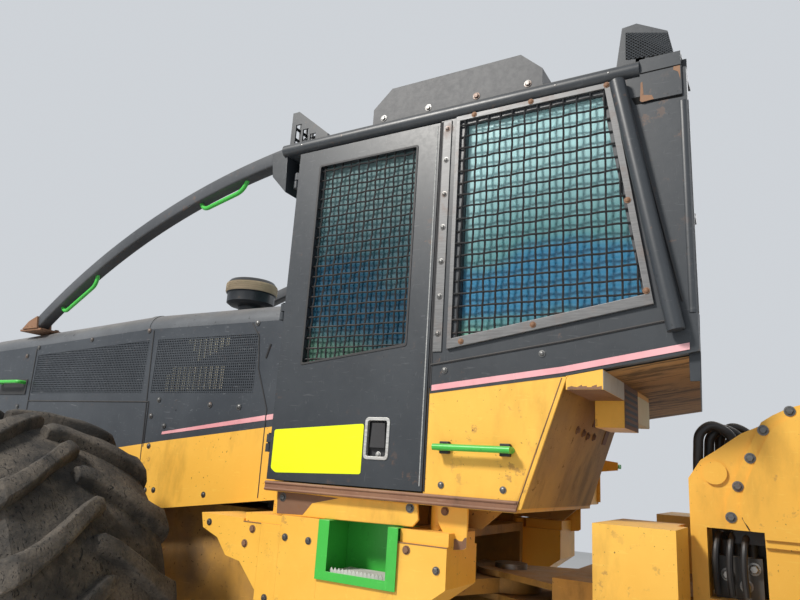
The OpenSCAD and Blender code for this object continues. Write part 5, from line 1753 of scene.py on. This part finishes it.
    def aprons(self) -> None:
        """Make the two plates under the cab's floor with their struts, rust and bolts."""
        skirt, hanger = SidePanel(self.side, self.apron_face), SidePanel(self.side, self.hanger_face)
        apron = self.piece("cab_apron")
        skirt.sheet(apron, self.apron_outline, -0.012, 0.0)
        hanger.sheet(apron, self.hanger_outline, -0.012, 0.0)
        for rear, front in ((0.17, 0.22), (-0.26, -0.215)):
            self.slab(apron, (rear, 0.6405, 1.486), (front, 0.7635, 1.52))
        apron.make(self.palette.yellow, Slot.YELLOW, bevel=0.003)
        patch = self.piece("apron_rust")
        skirt.sheet(patch, self.apron_rust, 0.0002, 0.0008)
        hanger.sheet(patch, self.hanger_rust, 0.0002, 0.0008)
        hanger.bolts(patch, [(-0.472, 1.53)], 0.0003, 0.011, 0.008, True)
        patch.make(self.palette.brown, Slot.YELLOW)
        heads = self.piece("apron_bolts")
        skirt.bolts(heads, [(0.265, 1.526), (-0.342, 1.531)], 0.0003, 0.012, 0.009, True)
        heads.make(self.palette.bolt, Slot.STEEL)


@dataclass
class SweepDressing:
    """Brush sweep: a bent square tube with its foot and green handles, replacing the CAD bar.

    Args:
        palette: The finishes.
        rear: Rear end of the bar's middle line, as x and z.
        crest: Point on its bend.
        front: Front point of its bend.
        tip: Front end of the bar.
        rear_y: Distance of the rear end from the middle plane.
        inward: How far the bar runs inward per metre ahead.
        steps: Steps along the bar.
        foot_rib: Outline of a foot's ribs.
        grips: Paths of the two green handles on the left bar.
    """

    palette: Palette
    rear: Pair = (0.473, 3.12)
    crest: Pair = (1.68, 2.851)
    front: Pair = (2.528, 2.43)
    tip: Pair = (2.545, 2.425)
    rear_y: float = 0.748
    inward: float = 0.0787
    steps: int = 48
    foot_rib: tuple[Pair, ...] = ((2.5, 2.392), (2.66, 2.392), (2.6, 2.44), (2.52, 2.47))
    grips: tuple[tuple[Point, ...], ...] = (
        ((0.728, 0.728, 3.091), (0.77, 0.725, 3.005), (1.063, 0.702, 2.952), (1.111, 0.698, 3.024)),
        ((1.98, 0.629, 2.719), (1.986, 0.629, 2.631), (2.281, 0.606, 2.487), (2.332, 0.602, 2.534)))

    def build(self) -> None:
        """Make both bars."""
        bar = Piece("sweep_bars")
        foot = Piece("sweep_feet")
        handles = Piece("sweep_handles")
        centre, radius = self.circle(self.rear, self.crest, self.front)
        a0 = math.atan2(self.rear[1] - centre[1], self.rear[0] - centre[0])
        a1 = math.atan2(self.tip[1] - centre[1], self.tip[0] - centre[0])
        for side in Side:
            rings = []
            for k in range(self.steps + 1):
                a = a0 + (a1 - a0) * k / self.steps
                ring = []
                for dr, dy in self.rounded():
                    x = centre[0] + (radius + dr) * math.cos(a)
                    z = centre[1] + (radius + dr) * math.sin(a)
                    y = self.rear_y - (x - self.rear[0]) * self.inward + dy
                    ring.append(Vector((x, side.value * y, z)))
                rings.append(ring)
            bar.loft(rings)
            foot.box((2.47, side.value * 0.41, 2.3795), (2.69, side.value * 0.628, 2.392))
            for ends in ((0.535, 0.549), (0.622, 0.636)):
                foot.loft([[Vector((x, side.value * y, z)) for x, z in self.foot_rib] for y in ends])
            for x in (2.5, 2.65):
                for y in (0.44, 0.5):
                    foot.bolt((x, side.value * y, 2.392), (0, 0, 1), 0.014, 0.012)
            for path in self.grips:
                handles.tube(arc([(x, side.value * y, z) for x, y, z in path]), 0.0115, 12)
        bar.make(self.palette.roof_black, Slot.BLACK)
        foot.make(self.palette.brown, Slot.BLACK, bevel=0.002)
        handles.make(self.palette.green, Slot.GREEN)
        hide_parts("sweeps")

    @staticmethod
    def circle(a: Pair, b: Pair, c: Pair) -> tuple[Pair, float]:
        """Circle through three points.

        Args:
            a: First point.
            b: Second point.
            c: Third point.

        Returns:
            Centre and radius.
        """
        d = 2 * (a[0] * (b[1] - c[1]) + b[0] * (c[1] - a[1]) + c[0] * (a[1] - b[1]))
        sq = [p[0] ** 2 + p[1] ** 2 for p in (a, b, c)]
        x = (sq[0] * (b[1] - c[1]) + sq[1] * (c[1] - a[1]) + sq[2] * (a[1] - b[1])) / d
        z = (sq[0] * (c[0] - b[0]) + sq[1] * (a[0] - c[0]) + sq[2] * (b[0] - a[0])) / d
        return (x, z), math.hypot(a[0] - x, a[1] - z)

    @staticmethod
    def rounded() -> list[Pair]:
        """Square section with round corners.

        Returns:
            Offsets across the bar.
        """
        h, r = 0.0372, 0.01
        points = []
        for sx, sy, start in ((1, 1, 0), (-1, 1, 90), (-1, -1, 180), (1, -1, 270)):
            for k in range(4):
                a = math.radians(start + 30 * k)
                points.append((sx * (h - r) + r * math.cos(a), sy * (h - r) + r * math.sin(a)))
        return points


@dataclass
class RoofDressing:
    """Bolts and sealant of the roof box, corner brackets, rear guard and corner, lamps' lenses, cleaner band.

    Args:
        palette: The finishes.
        box_face: Y of the roof box's side.
        guard_face: Y of the rear guard's side.
        opening: Corners of the guard's opening: front low, front top, rear top, rear low.
        slant: Share of the opening's length that a whole strand covers.
        strand_pitch: Distance of the strands, as a share of that length.
        lamp_height: Height of the lamps.
        lamps: Place along and across, and facing of each lamp.
        cleaner: Foot of the pre-cleaner's axis.
    """

    palette: Palette
    box_face: float = 0.7305
    guard_face: float = 0.76
    opening: tuple[Pair, ...] = ((-1.15, 3.206), (-1.152, 3.322), (-1.301, 3.276), (-1.314, 3.186))
    slant: float = 0.9
    strand_pitch: float = 0.095
    lamp_height: float = 3.2225
    lamps: tuple[Point, ...] = ((0.436, 0.65, 1), (0.436, -0.65, 1), (-1.28, 0.65, -1), (-1.174, -0.65, -1))
    cleaner: Point = (1.176, 0.15, 2.332)

    def build(self) -> None:
        """Make the pieces."""
        self.box_trim()
        self.rear_guard()
        self.rear_corner()
        self.lenses()
        self.cleaner_band()

    def box_trim(self) -> None:
        """Make the roof's bolts, sealant bead, corner brackets and rear corner tube."""
        heads, bead, trim = Piece("roof_bolts"), Piece("roof_sealant"), Piece("roof_trim")
        for side in Side:
            panel = SidePanel(side, self.box_face)
            panel.bolts(heads, [(x, 3.225) for x in (-0.066, -0.298, -0.529, -0.757)], 0.0, 0.011, 0.008, True)
            bead.tube([Vector(panel.at(x, 3.1585 + 0.0015 * math.sin(x * 41), 0.001)) for x in
                       [-0.818 + 0.03 * k for k in range(28)]], 0.0045, 6)
            bracket = SidePanel(side, 0.7)
            bracket.sheet(trim, [(0.53, 3.13), (0.512, 3.008), (0.42, 2.912), (0.432, 3.13)], 0.0, 0.096)
            for x in (-1.1, -0.9, 0.1, 0.33):
                heads.bolt((x, side.value * 0.815, 3.133), (0.0, side.value * 0.9, 0.45), 0.008, 0.006, hexagon=False)
        left = SidePanel(Side.LEFT)
        trim.tube([Vector((-1.345, 0.786, 2.21)), Vector((-1.345, 0.786, 2.97))], 0.018, 14)
        left.sheet(trim, [(-1.325, 1.994), (-1.358, 1.994), (-1.362, 2.21), (-1.325, 2.21)], -0.03, -0.026)
        heads.make(self.palette.bolt, Slot.STEEL)
        bead.make(self.palette.sealant, Slot.BLACK)
        trim.make(self.palette.black, Slot.BLACK, bevel=0.0015)

    def guard_point(self, u: float, v: float) -> Pair:
        """Point of the guard's opening.

        Args:
            u: Share of the way from front to rear.
            v: Share of the way upward.

        Returns:
            Point as x and z.
        """
        return tuple((1 - v) * ((1 - u) * a + u * d) + v * ((1 - u) * b + u * c) for a, b, c, d in zip(*self.opening))

    def rear_guard(self) -> None:
        """Make the painted shade in the left rear guard's opening, a near-black sheet, and its diamond lattice."""
        guard = SidePanel(Side.LEFT, self.guard_face)
        hollow, lattice = Piece("guard_opening"), Piece("guard_lattice")
        # Near-black sheet: painted shade inside the guard's opening.
        guard.sheet(hollow, self.opening, 0.0002, 0.0006)
        hollow.make(self.palette.shadow, Slot.BLACK)
        for k in range(21):
            start = self.strand_pitch * k - self.slant
            u0, u1 = max(0.0, start), min(1.0, start + self.slant)
            if u1 > u0:
                v0, v1 = (u0 - start) / self.slant, (u1 - start) / self.slant
                for low, high in ((v0, v1), (1 - v0, 1 - v1)):
                    guard.line(lattice, [self.guard_point(u0, low), self.guard_point(u1, high)], 0.0021, 0.0012)
        lattice.make(self.palette.black, Slot.BLACK)

    def rear_corner(self) -> None:
        """Make the painted shade in the gap, the dark seam and the rust of the left rear roof corner."""
        corner, plate = SidePanel(Side.LEFT), SidePanel(Side.LEFT, 0.808)
        gap = Piece("corner_gap")
        # Near-black sheet: painted shade in the gap at the roof corner; the line below is the dark seam.
        corner.sheet(gap, [(-1.174, 3.017), (-1.346, 3.014), (-1.345, 2.982), (-1.187, 2.987)], 0.0002, 0.0007)
        plate.line(gap, [(-1.208, 3.103), (-1.344, 3.104)], 0.0022, 0.0004)
        gap.make(self.palette.shadow, Slot.BLACK)
        patch = Piece("corner_rust")
        for outline in ([(-1.209, 3.066), (-1.215, 3.069), (-1.218, 3.015), (-1.246, 3.008), (-1.252, 2.991),
                         (-1.211, 2.988), (-1.205, 2.995)],
                        [(-1.321, 3.102), (-1.342, 3.102), (-1.342, 3.046), (-1.335, 3.078), (-1.319, 3.09)]):
            plate.sheet(patch, outline, 0.0002, 0.0006)
        patch.make(self.palette.brown, Slot.BLACK)

    def lenses(self) -> None:
        """Make the lamps' lenses and rims."""
        lens, rims = Piece("lamp_lenses"), Piece("lamp_rims")
        for x, y, facing in self.lamps:
            turn = Matrix.Translation((x, y, self.lamp_height)) @ Matrix.Rotation(math.radians(90 * facing), 4, "Y")
            lens.lathe([(0.0, 0.008), (0.022, 0.007), (0.034, 0.003), (0.037, 0.0003), (0.0, 0.0003)], turn, 36)
            rims.lathe([(0.036, 0.0003), (0.037, 0.005), (0.043, 0.005), (0.0445, 0.0003)], turn, 36, closed=True)
        lens.make(self.palette.lamp, Slot.GLASS)
        rims.make(self.palette.chrome, Slot.STEEL)

    def cleaner_band(self) -> None:
        """Make the tan band round the pre-cleaner."""
        band = Piece("cleaner_band")
        axis = Matrix.Translation(self.cleaner)
        band.lathe([(0.1482, 0.296), (0.1515, 0.3), (0.1515, 0.348), (0.1482, 0.351)], axis, 72, closed=True)
        for k in range(4):
            z = 0.302 + k * 0.012
            band.lathe([(0.1512, z), (0.153, z + 0.003), (0.1512, z + 0.006)], axis, 72, closed=True)
        band.make(self.palette.tan, Slot.BLACK)


@dataclass
class OverhangDressing:
    """Rusty underside of the cab's overhang, the tool box's skin and the brackets on the slanted wall.

    Args:
        palette: The finishes.
        front_x: Where the overhang starts at the tub.
        front_z: Height of its underside there.
        rise: Rise of the underside per metre toward the rear.
        wall_foot: Foot of the tub's slanted wall, as x and z.
        wall_run: How far back and down the wall's outward normal points.
        box_x: Rear face of the tool box, the vent and the filter case.
        slot_pitch: Distance of the vent's slots.
    """

    palette: Palette
    front_x: float = -0.923
    front_z: float = 2.012
    rise: float = 0.074 / 0.437
    wall_foot: Pair = (-0.767, 1.558)
    wall_run: Pair = (-0.454, -0.156)
    box_x: float = -1.0602
    slot_pitch: float = 0.0235

    def under(self, x: float) -> float:
        """Height of the overhang's underside.

        Args:
            x: Along the machine.

        Returns:
            Height in metres.
        """
        return self.front_z + self.rise * (self.front_x - x)

    def build(self) -> None:
        """Make the pieces."""
        self.underside()
        self.skins()
        self.slanted_wall()

    def underside(self) -> None:
        """Make the stained sheet under the overhang."""
        deck = Piece("overhang_underside")
        plan = [(-0.93, 0.755), (-1.352, 0.755), (-1.188, -0.755), (-0.93, -0.755)]
        deck.loft([[Vector((x, y, self.under(x) - d)) for x, y in plan] for d in (0.0035, 0.0022)])
        deck.make(self.palette.plank, Slot.BLACK)

    def slanted_wall(self) -> None:
        """Make the stained skin of the tub's slanted wall with its bolts and brackets."""
        back, down = self.wall_run
        normal = Vector((back, 0.0, down)).normalized()
        foot_x, foot_z = self.wall_foot
        wall = Piece("slant_grime")
        face = [Vector((-0.768, 0.785, 1.562)), Vector((-0.768, -0.148, 1.562)),
                Vector((-0.922, -0.148, 2.009)), Vector((-0.922, 0.785, 2.009))]
        wall.loft([[v + normal * d for v in face] for d in (0.0004, 0.0012)])
        wall.make(self.palette.slant, Slot.YELLOW)
        fixings = Piece("slant_fixings")
        turn = normal.to_track_quat("Z", "Y").to_matrix().to_4x4()
        for y, z in ((0.431, 1.858), (0.339, 1.853), (0.269, 1.846), (0.176, 1.849)):
            x = foot_x - (z - foot_z) * down / back
            fixings.bolt(Vector((x, y, z)) + normal * 0.001, normal, 0.012, 0.01)
        for y, z in ((0.218, 1.928), (-0.015, 1.871)):
            x = foot_x - (z - foot_z) * down / back
            seat = Matrix.Translation(Vector((x, y, z)) + normal * 0.001) @ turn
            fixings.box((-0.03, -0.045, 0.0), (0.03, 0.045, 0.004), seat)
        fixings.make(self.palette.brown, Slot.YELLOW, bevel=0.001)

    def skins(self) -> None:
        """Make the thin skins of the tool box, the vent and the filter case."""
        x, top = self.box_x, self.under(-1.06) - 0.004
        pale = Piece("tool_box_end")
        pale.box((x - 0.001, 0.481, 1.967), (x, 0.798, top))
        pale.make(self.palette.sealant, Slot.YELLOW)
        vent = Piece("vent_face")
        vent.box((x - 0.001, 0.231, 1.867), (x, 0.479, top))
        vent.box((-1.0598, 0.4815, 1.965), (-0.936, 0.798, 1.9657))
        for k in range(7):
            a, b = -1.056 + 0.0165 * k, -1.056 + 0.0165 * (k + 1)
            crest, dip = 1.974 + 0.003 * (k % 2), 1.974 + 0.004 * ((k + 1) % 3)
            vent.loft([[Vector((a, y, 1.9665)), Vector((b, y, 1.9665)), Vector((b, y, crest)), Vector((a, y, dip))]
                       for y in (0.7993, 0.7999)])
        vent.make(self.palette.brown, Slot.STEEL)
        slots = Piece("vent_slots")
        for k in range(6):
            z = self.slot_pitch * k
            slots.box((x - 0.002, 0.245, 1.882 + z), (x - 0.0011, 0.465, 1.893 + z))
        slots.make(self.palette.gasket, Slot.BLACK)
        case = Piece("filter_case")
        case.box((-1.0615, -0.0112, 1.9008), (-0.9588, 0.2192, self.under(-0.9588) - 0.004))
        case.make(self.palette.cream, Slot.STEEL, bevel=0.004)


@dataclass
class WinchDressing(SidePanel):
    """Bolts round the winch's gear case, hoses over its top and in the valve bay.

    Args:
        hub: Middle of the raised hub, as x and z.
        hub_face: Distance of the hub's face from the middle plane.
        hub_bolts: Bolts round the hub.
        hub_ring: Radius of their circle.
        case_bolts: Bolts along the gear case's front edge.
        seam: Path of the gear case's seam.
    """

    face: float = 0.532
    hub: Pair = (-1.77, 1.61)
    hub_face: float = 0.562
    hub_bolts: int = 8
    hub_ring: float = 0.122
    case_bolts: tuple[Pair, ...] = ((-1.59, 1.928), (-1.51, 1.865), (-1.467, 1.774), (-1.426, 1.682), (-1.401, 1.583))
    seam: tuple[Pair, ...] = ((-1.552, 1.859), (-1.499, 1.764), (-1.459, 1.674), (-1.434, 1.583), (-1.452, 1.548))

    def build(self) -> None:
        """Make the pieces."""
        s = self.side.value
        heads = self.piece("winch_bolts")
        self.bolts(heads, self.case_bolts, 0.0003, 0.012, 0.01, True)
        x, z = self.hub
        hub = SidePanel(self.side, self.hub_face)
        hub.bolts(heads, [(x + self.hub_ring * math.cos(a), z + self.hub_ring * math.sin(a))
                          for a in (2 * math.pi * k / self.hub_bolts for k in range(self.hub_bolts))],
                  0.0003, 0.013, 0.011, True)
        heads.make(self.palette.bolt, Slot.STEEL, Body.REAR)
        seam = self.piece("gear_case_seam")
        self.line(seam, self.seam, 0.0022, 0.0004)
        seam.make(self.palette.gasket, Slot.BLACK, Body.REAR)
        hoses = self.piece("winch_hoses")
        for k, (x, z) in enumerate(((-1.296, 1.855), (-1.326, 1.848), (-1.356, 1.858))):
            y = s * (0.43 - 0.05 * k)
            hoses.tube(spline([(x, y, 1.71), (x - 0.004, y, 1.8), (x - 0.012, y, z), (x - 0.05, y - s * 0.01, z + 0.03),
                               (x - 0.1, y - s * 0.03, z + 0.006), (x - 0.125, y - s * 0.04, 1.81)]), 0.017, 12)
        for k in range(3):
            x = -1.452 + 0.042 * k
            hoses.tube(spline([(x, s * 0.41, 1.47), (x, s * 0.415, 1.51),
                               (x + 0.012, s * 0.45, 1.525), (x + 0.02, s * 0.49, 1.49),
                               (x + 0.024, s * 0.5, 1.42), (x + 0.02, s * 0.495, 1.34)]), 0.011, 10)
        bay = self.piece("valve_plate")
        bay.box((-1.494, s * 0.372, 1.332), (-1.326, s * 0.376, 1.544))
        bay.box((-1.494, s * 0.462, 1.5), (-1.4, s * 0.466, 1.544))
        bay.make(self.palette.hose, Slot.BLACK, Body.REAR)
        fitting = self.piece("valve_fittings")
        for x, z in ((-1.455, 1.425), (-1.375, 1.4), (-1.43, 1.37)):
            fitting.bolt((x, s * 0.4605, z), (0, s, 0), 0.014, 0.022, True)
        fitting.make(self.palette.steel, Slot.STEEL, Body.REAR)
        hoses.make(self.palette.hose, Slot.RUBBER, Body.REAR)


@dataclass
class WheelDressing(SidePanel):
    """Wheel nuts on one rim.

    Args:
        end: front or rear.
        x: Wheel centre along the machine.
        z: Height of the wheel centre.
        nuts: Number of wheel nuts.
        nut_ring: Radius of their circle.
    """

    end: str = "front"
    x: float = 1.5
    face: float = 1.3405
    z: float = 0.915
    nuts: int = 16
    nut_ring: float = 0.245

    def build(self) -> None:
        """Make the pieces."""
        nuts = Piece(f"wheel_nuts_{self.end}_{self.tag}")
        self.bolts(nuts, [(self.x + self.nut_ring * math.cos(a), self.z + self.nut_ring * math.sin(a))
                          for a in (2 * math.pi * k / self.nuts for k in range(self.nuts))], 0.0003, 0.015, 0.02, True)
        nuts.make(self.palette.bolt, Slot.STEEL, f"wheel_{self.end}_{self.tag}")


@dataclass
class SeatDressing:
    """Operator's seat: pedestal, crowned cushion and back, armrests. It replaces the CAD seat.

    Args:
        palette: The finishes.
        x: Middle of the seat base.
        y: Middle of the seat across the machine.
        floor: Height of the cab floor.
        cells: Cells of a cushion's grid each way.
    """

    palette: Palette
    x: float = -0.66
    y: float = 0.112
    floor: float = 1.59
    cells: int = 28

    def cushion(self, name: str, size: Point, matrix: Matrix) -> bpy.types.Object:
        """Make a crowned cushion with a welted edge and two sewn channels.

        Args:
            name: Piece name.
            size: Length, width and thickness.
            matrix: Place of its middle.

        Returns:
            The cushion.
        """
        piece = Piece(name)
        n, half = self.cells, [v / 2 for v in size]
        top, low = [], []
        for i in range(n + 1):
            rows = ([], [])
            for j in range(n + 1):
                u, v = 2 * i / n - 1, 2 * j / n - 1
                edge = (1 - abs(u) ** 6) * (1 - abs(v) ** 6)
                pinch = 1 - 0.035 * (1 - u * u) * abs(v) ** 3
                groove = sum(math.exp(-((v - c) / 0.045) ** 2) for c in (-0.42, 0.42))
                across = math.exp(-((u - 0.1) / 0.04) ** 2)
                crown = 0.55 + 0.45 * edge ** 0.6 + 0.1 * (1 - u * u) * (1 - v * v)
                rise = half[2] * crown - 0.01 * max(groove, across) * edge
                x, y = u * half[0] * (1 - 0.03 * (1 - v * v) * abs(u) ** 3), v * half[1] * pinch
                rows[0].append(piece.bm.verts.new(matrix @ Vector((x, y, rise))))
                rows[1].append(piece.bm.verts.new(matrix @ Vector((x, y, -half[2] * (0.6 + 0.4 * edge ** 0.5)))))
            top.append(rows[0])
            low.append(rows[1])
        for i in range(n):
            for j in range(n):
                piece.bm.faces.new((top[i][j], top[i + 1][j], top[i + 1][j + 1], top[i][j + 1]))
                piece.bm.faces.new((low[i][j], low[i][j + 1], low[i + 1][j + 1], low[i + 1][j]))
        rim = ([(i, 0) for i in range(n)] + [(n, j) for j in range(n)]
               + [(i, n) for i in range(n, 0, -1)] + [(0, j) for j in range(n, 0, -1)])
        for (a, b), (c, d) in zip(rim, rim[1:] + rim[:1]):
            piece.bm.faces.new((low[a][b], low[c][d], top[c][d], top[a][b]))
        made = piece.make(self.palette.fabric, Slot.SEAT)
        sub = made.modifiers.new("soft", "SUBSURF")
        sub.levels = sub.render_levels = 1
        return made

    def build(self) -> None:
        """Make the seat."""
        base = Piece("seat_base")
        x, y, z = self.x, self.y, self.floor
        base.box((x - 0.035, y - 0.175, z - 0.001), (x + 0.205, y + 0.175, z + 0.05))
        base.box((x + 0.02, y - 0.12, z + 0.05), (x + 0.15, y + 0.12, z + 0.25))
        base.box((x - 0.035, y - 0.175, z + 0.25), (x + 0.205, y + 0.175, z + 0.328))
        for s in (1, -1):
            base.box((x - 0.055, y + s * 0.252, z + 0.402), (x + 0.035, y + s * 0.288, z + 0.56))
        base.box((x - 0.19, y - 0.2, z + 0.36), (x - 0.165, y + 0.2, z + 0.75))
        base_piece = base.make(self.palette.gasket, Slot.SEAT, bevel=0.006)
        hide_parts("seat")
        seat = Matrix.Translation((x + 0.05, y, z + 0.39))
        self.cushion("seat_cushion", (0.43, 0.49, 0.115), seat)
        back = Matrix.Translation((x - 0.17, y, z + 0.745)) @ Matrix.Rotation(math.radians(-100), 4, "Y")
        self.cushion("seat_back", (0.58, 0.45, 0.105), back @ Matrix.Rotation(math.pi, 4, "X"))
        for s, name in ((1, "left"), (-1, "right")):
            rest = Matrix.Translation((x, y + s * 0.292, z + 0.586))
            self.cushion(f"seat_armrest_{name}", (0.35, 0.072, 0.048), rest)


class Skidder:
    """The whole dressed machine."""

    AXLES = (("front", 1.5), ("rear", -2.4))
    WHEEL_Y, WHEEL_Z = 1.2625, 0.915
    DOORS = ((Side.LEFT, Body.DOOR_LEFT), (Side.RIGHT, Body.DOOR_RIGHT))

    def __init__(self) -> None:
        """Load the frame and build the finishes."""
        self.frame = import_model()
        self.cad_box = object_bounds()
        self.palette = Palette()

    def stages(self) -> tuple[Callable[[], None], ...]:
        """Steps of the build, in order."""
        return self.studio, self.cad_nodes, self.tyres, self.sides, self.sweeps, self.window_guards, self.top_and_cab

    def studio(self) -> None:
        """Set up camera, light and floor."""
        Studio().build()

    def cad_nodes(self) -> None:
        """Give the carried-over CAD nodes their materials."""
        CadDressing(self.palette).build(self.frame["nodes"])

    def tyres(self) -> None:
        """Build the four tyres."""
        for end, x in self.AXLES:
            for side in Side:
                Tyre(self.palette, end, side, (x, side.value * self.WHEEL_Y, self.WHEEL_Z)).build()

    def sides(self) -> None:
        """Dress hood, cab, door, steps, winch and rims on both sides."""
        for side, body in self.DOORS:
            HoodDressing(side, palette=self.palette).build()
            CabDressing(side, palette=self.palette).build()
            DoorDressing(side, palette=self.palette).build(body)
            StepDressing(side, palette=self.palette).build()
            WinchDressing(side, palette=self.palette).build()
            for end, x in self.AXLES:
                WheelDressing(side, palette=self.palette, end=end, x=x).build()

    def sweeps(self) -> None:
        """Build the two brush sweeps."""
        SweepDressing(self.palette).build()

    def window_guards(self) -> None:
        """Build the frames and the woven wire of the side windows, then the doors' wire."""
        frames = Piece("side_guard_frames")
        panes = [(side.value * 0.8047, CabDressing(side).guard(frames)) for side in Side]
        made = frames.make(self.palette.frame, Slot.STEEL, bevel=0.0015)
        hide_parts("window_guards")
        WireGuard(self.palette, "side_wires", Body.FRONT, panes, "guard_wires").build()
        for side, body in self.DOORS:
            tag = side.name.lower()
            WireGuard(self.palette, f"door_wires_{tag}", body, [(side.value * 0.787, DoorDressing(side).opening)],
                      f"door_guard_{tag}", pitch=0.0465).build()

    def top_and_cab(self) -> None:
        """Dress the roof, the overhang and the seat."""
        RoofDressing(self.palette).build()
        OverhangDressing(self.palette).build()
        SeatDressing(self.palette).build()

    def close(self) -> None:
        """Update the view layer at the end of the build."""
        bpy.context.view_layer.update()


def main() -> None:
    """Build the sub-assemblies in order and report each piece."""
    logging.basicConfig(level=logging.INFO)
    skidder = Skidder()
    known = {piece.name for piece in bpy.data.objects}
    LOG.info("frame: %d objects", len(known))
    for stage in skidder.stages():
        stage()
        new = [piece for piece in bpy.data.objects if piece.name not in known]
        for piece in new:
            LOG.info("%s: %s, %d faces", stage.__name__, piece.name, len(getattr(piece.data, "polygons", ())))
        known.update(piece.name for piece in new)
    skidder.close()
    LOG.info("skidder built")


if __name__ == "__main__":
    main()
